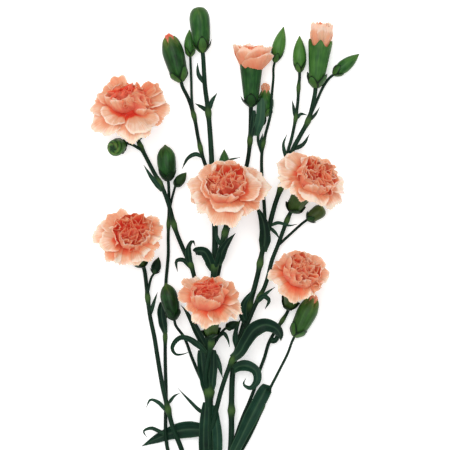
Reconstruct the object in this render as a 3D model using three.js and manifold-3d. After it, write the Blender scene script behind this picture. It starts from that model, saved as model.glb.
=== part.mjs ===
// A cut spray carnation lying on a table: one flowering stem whose side branches carry six open
// blooms, two half-open flowers, three buds that show colour and closed buds of several sizes.
// Millimetres, +Z up. The spray lies along Y with its flowers towards +Y and its cut end towards -Y.
// The origin is on the table, under the middle of the spray.

import * as THREE from "three";
import { mergeVertices } from "three/addons/utils/BufferGeometryUtils.js";
import Module from "manifold-3d";

const wasm = await Module();
wasm.setup();

// ---------------------------------------------------------------- driving dimensions (mm, degrees)

const SEAT_GAP = 0.3; // between a piece and what it grows on
const PETAL_THICKNESS = 0.8;
const PETAL_WAIST = 0.45; // width of a petal where it leaves the core, over that of a plain fan
const LEAF_THICKNESS = 0.8;
const CALYX_LENGTH = 24; // from the top of the stalk to the throat of an open bloom
const CALYX_RADIUS = 6.2; // at the throat
const CALYX_TOOTH = 3.2;
const THROAT_DEPTH = 2.5;
const THROAT_NECK = 4.3; // radius of the claws where they fill the throat
const FACE_HEIGHT = 31; // from the foot of the calyx to the middle of an open bloom
const STALK_LEAD = 4; // straight run of a stalk below the flower it carries
const ROOT_SUNK = 0.6; // how far a small bud sinks over the end of its stalk
const TRIM_TOLERANCE = 0.1; // flattest facets are joined when they lie this close
const STEM_SIDES = { thick: 6, thin: 5 };
const CALYX_SIDES = 10; // two for each of its five teeth
const JOINT_SWELLING = 1.5; // a joint's radius over the stem's own
const JOINT_LENGTH = 3.2;

// ---------------------------------------------------------------- colours

const material = (color, roughness) =>
  new THREE.MeshStandardMaterial({ color, roughness, metalness: 0 });
const STEM_GREEN = material(0x2b4a38, 0.55);
const LEAF_GREEN = material(0x234a38, 0.5);
const CALYX_GREEN = material(0x3a6e35, 0.45);
const BUD_GREEN = material(0x44803c, 0.45);
const PETAL_CORAL = material(0xe8a078, 0.6);
const PETAL_TIP = material(0xe0604a, 0.6);

// ---------------------------------------------------------------- the plan

// Stems: a route of [x, y, height] points from where the stem leaves its parent, radii at even steps
// from its root to its tip, and the shares of its length at which a leaf joint swells.
// A stem that carries a flower ends at that flower's foot.
const STEMS = [
  {
    name: "main_stem",
    route: [
      [-7, -205.5, 2.4], [-8.5, -173, 2.5], [-9, -143.5, 3.6], [-10.5, -112.5, 5.5], [-10.5, -80, 7],
      [-10.5, -44, 8], [-10.5, -13.5, 8], [-9, 12.5, 7.5], [-7, 36.5, 7], [-6.5, 61, 7], [-8, 87, 7],
      [-9, 113, 7], [-11, 139, 7], [-13, 154.5, 8.5],
    ],
    radius: [3.3, 2.9, 2, 1.4],
    joints: [0.155, 0.42, 0.635, 0.895],
    carries: "bud_top",
  },
  {
    name: "left_lower_branch",
    from: "main_stem",
    route: [
      [-9, -148, 3.6], [-15, -122, 5], [-23, -98, 6], [-29, -80, 7], [-34, -67.5, 8], [-37, -56, 8.5],
      [-40.5, -41.5, 8], [-43.5, -24.5, 7], [-46, -9, 6], [-49, 6, 6],
    ],
    radius: [1.8, 1.3],
    joints: [0.5, 0.88],
    carries: "bloom_left_lower",
  },
  {
    name: "left_thin_branch",
    from: "left_lower_branch",
    route: [
      [-20.5, -106, 5.6], [-29, -95, 4.8], [-36, -86, 4.6], [-38.5, -74, 4.4], [-38.5, -46, 2.2],
      [-39, -23.5, 1.2], [-39, 12.5, 1.1], [-38.5, 27.5, 1.4], [-37, 45, 2.2], [-37, 58, 3],
      [-36.5, 74, 3.5],
    ],
    radius: [1.3, 1.0],
    joints: [0.5, 0.86],
    carries: "bud_left_upper",
  },
  {
    name: "left_upper_branch",
    from: "main_stem",
    route: [
      [-10.5, -13.5, 8], [-14.5, 6, 8], [-19, 26, 8], [-22, 37.5, 8], [-26.5, 47, 8], [-32.5, 62, 8.6],
      [-36, 75.5, 9.4], [-40.5, 88, 8.6], [-47, 100, 7],
    ],
    radius: [1.6, 1.3],
    joints: [0.37, 0.56, 0.76],
    carries: "bloom_left_upper",
  },
  {
    name: "left_bud_stalk",
    from: "main_stem",
    route: [[-10.8, -44, 7], [-16, -35, 5.4], [-21, -23.5, 6], [-26.5, -9, 8]],
    radius: [1.2, 0.9],
    joints: [],
    carries: "bud_left_middle",
  },
  {
    name: "middle_lower_stalk",
    from: "main_stem",
    route: [[-10.5, -44.5, 8], [-13, -35.5, 12], [-11.5, -24.5, 13.6]],
    radius: [1.7, 1.6],
    joints: [0.86],
    carries: "bloom_middle_lower",
  },
  {
    name: "middle_stalk",
    from: "main_stem",
    route: [[-7, 35, 7], [-4.5, 43.5, 10.4], [-2, 52, 11.6]],
    radius: [1.7, 1.6],
    joints: [0.75],
    carries: "bloom_middle",
  },
  {
    name: "centre_top_stalk",
    from: "main_stem",
    route: [
      [-7, 22, 7.5], [-4, 35, 4], [-1.5, 48, 3], [2.5, 64.5, 3.2], [8, 84, 3.6], [14.2, 103.5, 5],
      [17.4, 118, 7],
    ],
    radius: [1.4, 1.4],
    joints: [0.82],
    carries: "half_open_centre",
  },
  {
    name: "left_top_stalk",
    from: "main_stem",
    route: [
      [-8.2, 90.5, 7], [-11.5, 100, 6], [-14.5, 108.5, 6], [-17.5, 121, 6], [-20, 134.5, 6.5],
      [-24, 147, 7.5],
    ],
    radius: [1.25, 1.2],
    joints: [0.36, 0.66],
    carries: "bud_showing_left",
  },
  {
    name: "right_branch",
    from: "main_stem",
    route: [
      [-9, -153.5, 3.4], [-4, -130.5, 4.5], [0.5, -104.5, 5.5], [3.8, -80, 6.5], [4.2, -49.5, 7],
      [5.2, -30, 7], [8.5, -13.5, 7], [13.5, 4, 7], [18, 19.5, 7], [21.5, 33, 7], [24.5, 48, 7],
      [28.5, 62.5, 7], [32.5, 77.5, 6], [36.5, 89, 6], [40.5, 101.5, 6], [44, 113, 6],
      [49.5, 123.5, 6.2], [54.5, 133, 6.6],
    ],
    radius: [2.1, 1.4],
    joints: [0.31, 0.53, 0.62, 0.78, 0.93],
    carries: "half_open_right",
  },
  {
    name: "right_second_branch",
    from: "main_stem",
    route: [
      [-10.5, -75.5, 7.2], [-6, -57, 10.4], [-2, -41.5, 12.6], [2.5, -28.5, 13.2], [8.5, -14.5, 13],
      [14.5, 0, 12], [20, 13, 10], [25.5, 23.5, 8], [28, 31, 7], [30.5, 41, 6], [34, 50, 5.6],
    ],
    radius: [1.6, 1.3],
    joints: [0.34, 0.62, 0.95],
    carries: "bloom_right_upper",
  },
  {
    name: "right_fork",
    from: "right_branch",
    route: [
      [24.8, 49, 7], [26, 62.5, 5.6], [25.5, 77.5, 4.6], [24, 96, 4.6], [24, 111, 5], [26, 122, 8],
      [29.5, 136, 11.4], [30.5, 149, 11], [31.5, 160, 7.5],
    ],
    radius: [1.3, 0.8],
    joints: [0.55],
    carries: "bud_centre_pointed",
  },
  {
    name: "right_lower_branch",
    from: "right_branch",
    route: [
      [3.4, -87, 6.3], [7, -74, 3.8], [11.5, -61, 3.4], [16, -50.5, 3.6], [19.4, -41.5, 4],
      [22.4, -31, 4.6], [25.7, -22, 5], [29, -11.5, 5],
    ],
    radius: [1.2, 1.1],
    joints: [0.9],
    carries: "bloom_right_lower",
  },
  {
    name: "right_thin_branch",
    from: "right_branch",
    route: [
      [0.5, -104, 5.4], [8.5, -87, 5], [16, -73.5, 5], [23, -58.5, 5], [28.5, -44, 5], [34.5, -32, 5.5],
      [41, -19, 6],
    ],
    radius: [1.05, 0.85],
    joints: [0.52],
    carries: "bud_showing_right",
  },
];

// Side shoots in one piece with their stem: a thin route, and the small bud or the flower at its end.
const SHOOTS = [
  {
    stem: "left_upper_branch",
    route: [[-48.5, 102.5, 6.6], [-54.5, 107, 3.6], [-60, 113, 2.6]],
    radius: 0.9,
    carries: "bud_facing",
  },
  {
    stem: "left_thin_branch",
    route: [[-36.6, 72, 3.4], [-34.5, 82, 4.4]],
    radius: 0.8,
    bud: { heading: 35, lift: 5, length: 13, radius: 3.3, sides: 5, foot: [-32.5, 88.5, 5] },
  },
  {
    stem: "left_lower_branch",
    route: [[-50.4, 20, 5], [-48, 30, 4.6]],
    radius: 0.8,
    bud: { heading: 15, lift: 5, length: 11, radius: 3.3, sides: 5, foot: [-46, 33, 4.4] },
  },
  {
    stem: "middle_lower_stalk",
    route: [[-11, -20, 14], [-5, -10, 14], [-1.5, -4.5, 13.5]],
    radius: 0.8,
    bud: { heading: 65, lift: 5, length: 9.5, radius: 2.9, sides: 5, foot: [1, -2.5, 13.4] },
  },
  {
    stem: "left_top_stalk",
    route: [[-20, 134.5, 6.5], [-21.6, 145.5, 5.4], [-22, 158.5, 4.6]],
    radius: 0.85,
    carries: "bud_left_pointed",
  },
  {
    stem: "right_fork",
    route: [[24, 111, 5], [21.5, 120, 4.6], [23, 128, 4.6]],
    radius: 0.9,
    carries: "bud_showing_centre",
  },
  {
    stem: "right_branch",
    route: [
      [40.5, 101.5, 6], [41, 112, 6], [43.4, 121, 6], [46, 134, 5.6], [47.5, 145.5, 5.2], [48, 155, 5],
    ],
    radius: 1.0,
    carries: "bud_right_pointed",
  },
  {
    stem: "right_branch",
    route: [[54.5, 133, 6.6], [59.5, 144.5, 5.6], [63.5, 153.5, 5]],
    radius: 0.9,
    carries: "bud_right_far",
  },
  {
    stem: "right_second_branch",
    route: [[34, 50.5, 5.6], [41, 57, 5.4]],
    radius: 0.85,
    carries: "bud_right_middle",
  },
];

// Petal layers, from the guard petals in. A midline runs from the claw in the throat to the tip, as
// four [distance from the axis, height above the throat] points of a curve, and its first share, the
// claw, stays hidden in the core. The blooms' are for a radius of 22.5.
const LAYER_RADIUS = 22.5;
const BLOOM_LAYERS = [
  {
    count: 5, cells: 4, midline: [[1.2, 2], [3, 7], [13, 9.5], [24, 4]],
    claw: 0.34, spread: 29, cup: 0.004, ruffle: 1.5,
  },
  {
    count: 4, cells: 3, midline: [[1.2, 3.4], [3, 9], [10, 13], [20.5, 13]],
    claw: 0.34, spread: 31, cup: 0.012, ruffle: 1.6,
  },
  {
    count: 3, cells: 2, midline: [[1.2, 5], [2.5, 10], [6, 15], [12.5, 20]],
    claw: 0.34, spread: 31, cup: 0.02, ruffle: 1.4,
  },
];
const CUP_LAYERS = [
  {
    count: 5, cells: 3, midline: [[1.2, 2], [6, 3.4], [15, 5.5], [13.6, 17.5]],
    claw: 0.14, spread: 29, cup: 0.03, ruffle: 0.8,
  },
  {
    count: 3, cells: 2, midline: [[1.2, 4], [4, 6], [8, 9], [7, 18]],
    claw: 0.2, spread: 24, cup: 0.04, ruffle: 0.8,
  },
];
const TUFT_LAYERS = [
  {
    count: 5, cells: 2, midline: [[1.2, 1], [5, 2], [8.8, 5.5], [7.4, 15.5]],
    claw: 0.16, spread: 24, cup: 0.05, ruffle: 0.5,
  },
];

// Open blooms: the middle of the face, the heading from +Y towards +X, the lift above the table.
const BLOOMS = [
  { name: "bloom_left_upper", face: [-62, 140, 28], heading: -15, lift: 50, radius: 25.5, seed: 11 },
  { name: "bloom_left_lower", face: [-62.5, 56.5, 27.6], heading: -25, lift: 48, radius: 23, seed: 23 },
  { name: "bloom_middle", face: [2, 86.5, 38.5], heading: 3, lift: 52, radius: 26.5, seed: 35 },
  { name: "bloom_right_upper", face: [55.5, 93.5, 27.6], heading: 31, lift: 48, radius: 23, seed: 47 },
  { name: "bloom_middle_lower", face: [-10, 14.5, 39.6], heading: -3, lift: 48, radius: 21, seed: 59 },
  { name: "bloom_right_lower", face: [47, 31, 27], heading: 15, lift: 48, radius: 20.5, seed: 61 },
];

// Half-open flowers: the foot of the calyx, its length and throat radius, and how the petals stand.
const HALF_OPEN = [
  {
    name: "half_open_centre", foot: [18.6, 140.7, 9.6], heading: 1, lift: 8,
    calyxLength: 24, calyxRadius: 6.6, layers: CUP_LAYERS,
    core: { neck: THROAT_NECK, radius: 7, height: 13 }, seed: 73,
  },
  {
    name: "half_open_right", foot: [59, 153.5, 6.9], heading: 8, lift: 1,
    calyxLength: 26.5, calyxRadius: 6.9, layers: TUFT_LAYERS,
    core: { neck: THROAT_NECK, radius: 4.8, height: 13 }, seed: 85,
  },
];

// Buds on stalks of their own. A rounded bud is full to its top, and a pointed one tapers to a tip.
// Where a bud shows colour, its petals stand out of the open tip.
const BUDS = [
  {
    name: "bud_top", foot: [-14.5, 177, 12.2], heading: -4, lift: 2, length: 28, radius: 6.6,
    rounded: true,
  },
  { name: "bud_left_pointed", foot: [-22.3, 173, 4.2], heading: -2, lift: 0, length: 18, radius: 3.9 },
  { name: "bud_left_upper", foot: [-37, 93.5, 6.3], heading: -5, lift: 1, length: 23.5, radius: 6 },
  {
    name: "bud_facing", foot: [-65, 117.5, 6], heading: -115, lift: 40, length: 15, radius: 6.2,
    rounded: true,
  },
  { name: "bud_left_middle", foot: [-33, 3, 9.8], heading: -13, lift: 2, length: 24, radius: 5.8 },
  { name: "bud_centre_pointed", foot: [32.6, 171, 4.7], heading: 14, lift: 0, length: 23, radius: 4.3 },
  { name: "bud_right_pointed", foot: [48, 164, 5], heading: -1, lift: 0, length: 23.5, radius: 4.5 },
  { name: "bud_right_far", foot: [71, 162.5, 4.8], heading: 51, lift: 0, length: 21, radius: 4.3 },
  {
    name: "bud_right_middle", foot: [54, 68, 5.2], heading: 55, lift: 3, length: 13.5, radius: 4.6,
    rounded: true,
  },
  {
    name: "bud_showing_left", foot: [-28.6, 158, 7.2], heading: -13, lift: 0, length: 27.5, radius: 7,
    rounded: true, shows: 3.6,
  },
  {
    name: "bud_showing_centre", foot: [26.2, 136, 4.9], heading: 3, lift: 0, length: 15.5, radius: 4.7,
    rounded: true, shows: 4.2,
  },
  {
    name: "bud_showing_right", foot: [45.5, -8, 6.8], heading: 27, lift: 3, length: 26, radius: 6.6,
    rounded: true, shows: 3,
  },
];

// The bud that peeps out from behind the middle bloom has its own short stalk, in one piece with it.
const HIDDEN_BUD = {
  name: "bud_behind_middle", foot: [-0.5, 93.5, 4.6], heading: 0, lift: 0, length: 20, radius: 4.2,
  route: [[-7.5, 70, 6.6], [-5, 78.5, 4.8], [-2.6, 86, 4.6]], stalkRadius: 0.9, from: "main_stem",
};

// Leaves: the route of the midrib from the joint it grows on, the full width at the widest place, and
// the roll of the blade at its root and tip (0 lies flat, 90 stands on edge).
const LEAVES = [
  {
    name: "leaf_middle_left", from: ["main_stem", "middle_stalk"], width: 6.5, roll: [0, 10], blunt: true,
    route: [[-8.2, 35, 7.2], [-10.4, 42, 10.5], [-13.5, 47, 13], [-17.5, 47.5, 12.4], [-19.5, 46.5, 9]],
  },
  {
    name: "leaf_beside_fork", from: ["right_branch"], width: 8, roll: [0, 0],
    route: [[25, 47, 7.4], [26, 57, 10], [25, 66, 10.8], [22.2, 73, 10], [19.5, 77.5, 9]],
  },
  {
    name: "leaf_up_left", from: ["main_stem"], width: 5.4, roll: [0, 0],
    route: [[-10.8, -18, 8.4], [-16.5, -8, 9], [-21.5, 1.5, 8], [-26, 9, 5.6], [-28.8, 12, 4.2]],
  },
  {
    name: "leaf_ring", from: ["main_stem"], width: 4, roll: [35, 75],
    route: [
      [-11, -20, 9.6], [-15, -15.4, 12.6], [-19, -12, 14.2], [-24, -9, 15.2], [-29, -8.5, 15.5],
      [-33, -11.7, 15.2], [-34.5, -16, 14.8], [-32, -19.8, 14.2], [-27, -19.6, 13.8], [-23, -18, 13.6],
    ],
  },
  {
    name: "leaf_right_arch", from: ["right_second_branch"], width: 9, roll: [10, -15],
    route: [
      [5, -22.5, 13.2], [9.5, -18.5, 16.4], [13.5, -11.5, 19], [19, -3.6, 21.5], [26, -0.4, 22.5],
      [32.5, -2.4, 20.5], [35.8, -6.5, 16], [36.4, -11, 11.5],
    ],
  },
  {
    name: "leaf_right_rolled", from: ["right_branch"], width: 6.2, roll: [5, 60],
    route: [
      [4.2, -31, 7.2], [10, -27.5, 10.4], [15.5, -27.8, 12.4], [20, -31, 13.6], [20.5, -37, 13.4],
      [16.5, -41.4, 13], [12.2, -39.2, 13], [13.4, -35.4, 13.2],
    ],
  },
  {
    name: "leaf_lower_right", from: ["right_branch", "right_thin_branch"], width: 9, roll: [0, 0],
    blunt: true,
    route: [
      [3.6, -88, 7], [9.5, -76, 9], [16.8, -61, 9.6], [23, -49, 9.4], [26, -43.5, 8], [27, -42.5, 5.6],
      [26.6, -44.5, 3],
    ],
  },
  {
    name: "leaf_lower_left", from: ["main_stem"], width: 11.5, roll: [0, 0],
    route: [
      [-10.5, -70, 6.2], [-18, -69, 3.4], [-26.5, -69.2, 2], [-36, -71.5, 1.6], [-45.5, -75.5, 1.4],
      [-54.5, -80, 1],
    ],
  },
  {
    name: "leaf_right_hugging", from: ["right_branch"], width: 5.4, roll: [0, 10],
    route: [[14.6, -1.5, 7.4], [11.5, 6.5, 9.6], [12.5, 13.5, 11.2], [16.5, 19.5, 11.6], [20, 23.5, 10.6]],
  },
  {
    name: "leaf_left_folded", from: ["left_upper_branch"], width: 4.6, roll: [0, 20],
    route: [[-22.2, 38.5, 8.6], [-23.6, 44, 11.4], [-23.4, 50.5, 13], [-21, 54, 13.2], [-19.4, 50.8, 11.6]],
  },
];

// Small leaves at the joints of each stem, in one piece with it.
const SMALL_LEAVES = {
  main_stem: [
    { width: 3, route: [[-11, 138.5, 7.5], [-15, 141, 8], [-19.5, 143.5, 8]] },
    { width: 3.4, route: [[-11, 138.5, 7.5], [-8.5, 145, 8.6], [-5, 150.5, 9]] },
    { width: 3, route: [[-14, 157, 9.5], [-17.3, 162.5, 9.6], [-18, 170, 9.4]] },
    { width: 5.6, route: [[-13.2, -47.5, 7.4], [-15.8, -36, 8.2], [-16.6, -25, 9.2], [-17, -17, 9]] },
    { width: 5, route: [[-7.8, -47.5, 7.6], [-5.8, -36, 8.4], [-5.6, -25, 8.8], [-6.4, -15, 8.8]] },
    { width: 6, route: [[-10.8, -105, 6.4], [-14.6, -84, 8.4], [-14.8, -68, 9.6], [-14, -54, 9.8]] },
    { width: 5, route: [[-10, -105, 6.4], [-7, -88, 5.4], [-6.4, -76, 5.4], [-7, -64, 5.6]] },
    { width: 2.6, route: [[-10.8, -60, 8], [-17, -56, 9.6], [-24, -49, 10.6], [-30.5, -42, 11]] },
    { width: 3, route: [[-10, -19, 8.4], [-4.5, -26, 9.4], [-1, -34.5, 9]] },
    {
      width: 3.6,
      route: [[-10, -14, 8.4], [-4.5, -8, 11], [-1, -6, 12], [1.6, -9.5, 12], [3, -15, 10.6]],
    },
  ],
  left_upper_branch: [
    { width: 3.4, route: [[-21.8, 36, 8], [-27, 41.5, 9], [-31.5, 41, 9.4], [-31, 34, 8.4]] },
    { width: 3, route: [[-40.5, 88, 8.6], [-45.5, 96.5, 10], [-50.5, 102.5, 10]] },
  ],
  left_lower_branch: [
    { width: 2.8, route: [[-49, 5, 6], [-46.6, 13, 7], [-44, 20.5, 7.4]] },
    {
      width: 2.8,
      route: [[-38, -57, 8.5], [-43.5, -51, 10.6], [-48.5, -49.4, 11.4], [-51.3, -54.5, 10.4]],
    },
    { width: 2.2, route: [[-36.8, -52, 8.6], [-33, -47, 10], [-29.3, -45, 10.4]] },
  ],
  left_thin_branch: [
    {
      width: 2.8,
      route: [[-38.6, -72, 4.2], [-43, -70, 5.6], [-48, -68, 5.8], [-53, -70, 5], [-51, -74, 4]],
    },
    { width: 3.4, route: [[-39, -5, 1.9], [-42.2, 4, 2.4], [-42.5, 11, 2.4]] },
  ],
  centre_top_stalk: [
    { width: 4, route: [[15, 106, 5.4], [18.4, 116, 8.6], [19.8, 126, 9.4]] },
  ],
  left_top_stalk: [
    { width: 3, route: [[-14.5, 108.5, 6], [-19, 110.5, 7.4], [-24, 108, 7.4], [-28, 101, 6]] },
  ],
  middle_stalk: [
    { width: 6.4, route: [[-4.2, 38.5, 8.6], [-1.8, 47, 12.4], [2.4, 54, 14.4], [6.8, 59, 14.8]] },
    { width: 3, route: [[-2.4, 50.5, 11.6], [-5.4, 57, 13], [-5.6, 62.5, 13]] },
  ],
  right_branch: [
    { width: 3.8, route: [[7.8, -16.5, 7], [6.6, -9, 9], [8, -1.5, 10], [11, 4.5, 10.2]] },
    { width: 2.4, route: [[29, 63.5, 7], [34.5, 65.8, 8.6], [42, 64, 8.6], [47, 65, 8]] },
    { width: 2.4, route: [[29, 63, 7], [33.5, 58.5, 8.6], [35.6, 55, 9]] },
    { width: 2.8, route: [[41.5, 104, 6], [38, 116.5, 7.4], [40.4, 123.5, 7.4]] },
    { width: 3, route: [[44.5, 113.5, 6], [51, 117, 7.4], [55, 123.5, 7.4]] },
    { width: 2.6, route: [[46, 134, 5.6], [44.8, 140, 6.4], [43.8, 145.5, 6.4]] },
    { width: 2.2, route: [[54.5, 132, 6.6], [59, 136.6, 7.4], [61.6, 141, 7.4]] },
  ],
  right_second_branch: [
    { width: 3.6, route: [[20.5, 13.6, 10], [25, 18, 12], [28.6, 15.4, 12], [26, 9.5, 10]] },
    { width: 2.8, route: [[20.5, 13.6, 10], [27, 20, 12], [32.5, 24, 12]] },
  ],
  right_lower_branch: [
    { width: 4, route: [[29, -11.5, 5], [33.4, -10, 6.6], [34, -4, 7]] },
  ],
  right_thin_branch: [
    { width: 2, route: [[22.4, -60, 5], [19, -61.5, 6.2], [16.5, -64, 6.2]] },
  ],
  right_fork: [
    { width: 3.4, route: [[24, 111, 5], [23.4, 117.5, 6.6], [24.6, 124, 8]] },
  ],
};

// ---------------------------------------------------------------- solids

const vector = ([x, y, z]) => new THREE.Vector3(x, y, z);

// A closed geometry as a solid, without the empty triangles that a pole leaves.
function solid(geometry) {
  const bare = new THREE.BufferGeometry().setAttribute("position", geometry.getAttribute("position"));
  bare.setIndex(geometry.index);
  const merged = mergeVertices(bare, 1e-4);
  const corners = [];
  for (let i = 0; i < merged.index.count; i += 3) {
    const [a, b, c] = [0, 1, 2].map((k) => merged.index.getX(i + k));
    if (a !== b && b !== c && c !== a) corners.push(a, b, c);
  }
  return new wasm.Manifold(
    new wasm.Mesh({
      numProp: 3,
      vertProperties: merged.getAttribute("position").array,
      triVerts: new Uint32Array(corners),
    }),
  );
}

// Everything above the table, in one body: a sealed hollow is filled and a loose scrap is dropped.
function tidy(body) {
  const parts = body.trimByPlane([0, 0, 1], 0).simplify(TRIM_TOLERANCE).decompose();
  return parts.reduce((best, part) => (part.volume() > best.volume() ? part : best));
}

function fuse(bodies) {
  return wasm.Manifold.union(bodies);
}

function toMesh(name, body, finish, anchor) {
  const { vertProperties, triVerts } = body.getMesh();
  const geometry = new THREE.BufferGeometry();
  geometry.setAttribute("position", new THREE.BufferAttribute(new Float32Array(vertProperties), 3));
  geometry.setIndex(new THREE.BufferAttribute(new Uint32Array(triVerts), 1));
  geometry.translate(-anchor.x, -anchor.y, -anchor.z);
  geometry.computeVertexNormals();
  const mesh = new THREE.Mesh(geometry, finish);
  mesh.name = name;
  mesh.position.copy(anchor);
  return mesh;
}

// A seeded draw between -1 and 1.
function drawer(seed) {
  let state = seed;
  return () => {
    state = (state * 1103515245 + 12345) % 2147483648;
    return (state / 2147483648) * 2 - 1;
  };
}

// A tube of changing radius along a curve, with a ring at each of the shares of its length.
function tube(curve, radiusAt, sides, shares) {
  const rows = shares.length - 1;
  const geometry = new THREE.CylinderGeometry(1, 1, 1, sides, rows);
  const position = geometry.getAttribute("position");
  const frames = shares.map((share) => ringFrame(curve, share));
  for (let i = 0; i < position.count; i++) {
    const row = Math.round((position.getY(i) + 0.5) * rows);
    const { centre, across, up } = frames[row];
    const radius = radiusAt(shares[row]);
    const placed = centre.clone();
    placed.addScaledVector(across, position.getX(i) * radius);
    placed.addScaledVector(up, position.getZ(i) * radius);
    position.setXYZ(i, placed.x, placed.y, placed.z);
  }
  return solid(geometry);
}

// A point of the curve, and two directions square to the curve there, one of them level.
function ringFrame(curve, share) {
  const along = curve.getTangentAt(share);
  const across = new THREE.Vector3(along.y, -along.x, 0).normalize();
  const up = new THREE.Vector3().crossVectors(across, along);
  return { centre: curve.getPointAt(share), across, up };
}

const evenShares = (count) => Array.from({ length: count + 1 }, (_, i) => i / count);

// The shares of a curve's length at which its own points lie.
function pointShares(curve) {
  const fine = 16;
  const spans = curve.points.length - 1;
  const lengths = curve.getLengths(spans * fine);
  return curve.points.map((_, i) => lengths[i * fine] / lengths[spans * fine]);
}

// A thin blade over a surface point(u, v), u and v from 0 to 1, split alike on both faces.
function blade(point, cellsAcross, cellsAlong, thickness) {
  const sheet = new THREE.PlaneGeometry(1, 1, cellsAcross, cellsAlong);
  const uv = sheet.getAttribute("uv");
  const position = sheet.getAttribute("position");
  for (let i = 0; i < uv.count; i++) {
    const { x, y, z } = point(uv.getX(i), uv.getY(i));
    position.setXYZ(i, x, y, z);
  }
  sheet.computeVertexNormals();
  const normal = sheet.getAttribute("normal");
  const count = position.count;
  const both = new Float32Array(count * 6);
  for (let i = 0; i < count; i++) {
    for (const [side, start] of [[0.5, 0], [-0.5, count]]) {
      const at = (start + i) * 3;
      both[at] = position.getX(i) + normal.getX(i) * thickness * side;
      both[at + 1] = position.getY(i) + normal.getY(i) * thickness * side;
      both[at + 2] = position.getZ(i) + normal.getZ(i) * thickness * side;
    }
  }
  const corners = [];
  const edges = new Map();
  for (let i = 0; i < sheet.index.count; i += 3) {
    const face = [0, 1, 2].map((k) => sheet.index.getX(i + k));
    corners.push(...face, face[0] + count, face[2] + count, face[1] + count);
    face.forEach((a, k) => edges.set(a + "/" + face[(k + 1) % 3], [a, face[(k + 1) % 3]]));
  }
  for (const [a, b] of edges.values()) {
    if (edges.has(b + "/" + a)) continue;
    corners.push(b, a, a + count, b, a + count, b + count);
  }
  const geometry = new THREE.BufferGeometry().setAttribute("position", new THREE.BufferAttribute(both, 3));
  geometry.setIndex(corners);
  return solid(geometry);
}

// The frame of a flower or bud: its foot, and axes with z along the flower.
function flowerFrame({ heading, lift }, foot) {
  const turn = THREE.MathUtils.degToRad(heading);
  const rise = THREE.MathUtils.degToRad(lift);
  const axis = new THREE.Vector3(
    Math.sin(turn) * Math.cos(rise), Math.cos(turn) * Math.cos(rise), Math.sin(rise),
  );
  const level = new THREE.Vector3(-axis.y, axis.x, 0).normalize();
  const third = new THREE.Vector3().crossVectors(axis, level);
  const matrix = new THREE.Matrix4().makeBasis(level, third, axis).setPosition(foot);
  return { foot, axis, matrix };
}

// A solid of revolution in a flower's frame. shape(angle, point) may move each vertex.
function turned(profile, sides, matrix, shape = () => {}) {
  const geometry = new THREE.LatheGeometry(profile.map(([r, h]) => new THREE.Vector2(r, h)), sides);
  geometry.rotateX(Math.PI / 2);
  const position = geometry.getAttribute("position");
  const point = new THREE.Vector3();
  for (let i = 0; i < position.count; i++) {
    point.fromBufferAttribute(position, i);
    shape(Math.atan2(point.y, point.x), point);
    point.applyMatrix4(matrix);
    position.setXYZ(i, point.x, point.y, point.z);
  }
  return solid(geometry);
}

// ---------------------------------------------------------------- calyces and buds

// The zigzag that cuts a ring of vertices into five points.
const fivePoints = (angle) => Math.sin(5 * angle);

// The green cup: a tube with a lip of scale tips near its foot and five teeth round its rim.
function calyx(length, radius, matrix, grow = 0) {
  const g = grow;
  const lip = length * 0.22;
  const profile = [
    [0, -g], [2.4 + g, -g], [radius * 0.84 + g, lip], [radius * 0.76 + g, lip + 0.1],
    [radius * 0.95 + g, length * 0.8], [radius + 0.4 + g, length + g], [radius - 0.4 - g, length + g],
    [radius - 1.4 - g, length - THROAT_DEPTH + g], [0, length - THROAT_DEPTH + g],
  ];
  return turned(profile, CALYX_SIDES, matrix, (angle, point) => {
    if (point.z > length - 0.5) point.z += (CALYX_TOOTH / 2) * (1 + fivePoints(angle));
    else if (Math.abs(point.z - lip) < 0.2) point.z += 1.5 * fivePoints(angle);
  });
}

// A closed bud: a lip of scale tips near its foot, and five ribs that close at its top.
function closedBud({ length, radius, rounded, shows, sides = CALYX_SIDES }, matrix) {
  const body = rounded
    ? [[0.95, 0.58], [0.97, 0.82], [shows ? 0.66 : 0.62, shows ? 1 : 0.96], [0, 1]]
    : [[0.98, 0.42], [0.78, 0.72], [0.3, 0.95], [0, 1.04]];
  const profile = [[0, 0], [0.36, 0], [0.86, 0.19], [0.78, 0.195], ...body];
  const lip = length * 0.19;
  return turned(profile.map(([r, h]) => [r * radius, h * length]), sides, matrix, (angle, point) => {
    const swell = 1 + 0.05 * fivePoints(angle);
    point.x *= swell;
    point.y *= swell;
    if (Math.abs(point.z - lip) < length * 0.02) point.z += length * 0.06 * fivePoints(angle);
  });
}

// The petal tips that stand out of a bud's open top.
function showingPetals({ length, radius, shows }, matrix) {
  const base = length + SEAT_GAP;
  const profile = [[0, base], [radius * 0.58, base], [radius * 0.5, base + shows * 0.6], [0, base + shows]];
  return turned(profile, 8, matrix, (angle, point) => {
    if (point.z > base + 0.1) point.z += 0.5 * Math.cos(2 * angle);
  });
}

// ---------------------------------------------------------------- petals

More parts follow.
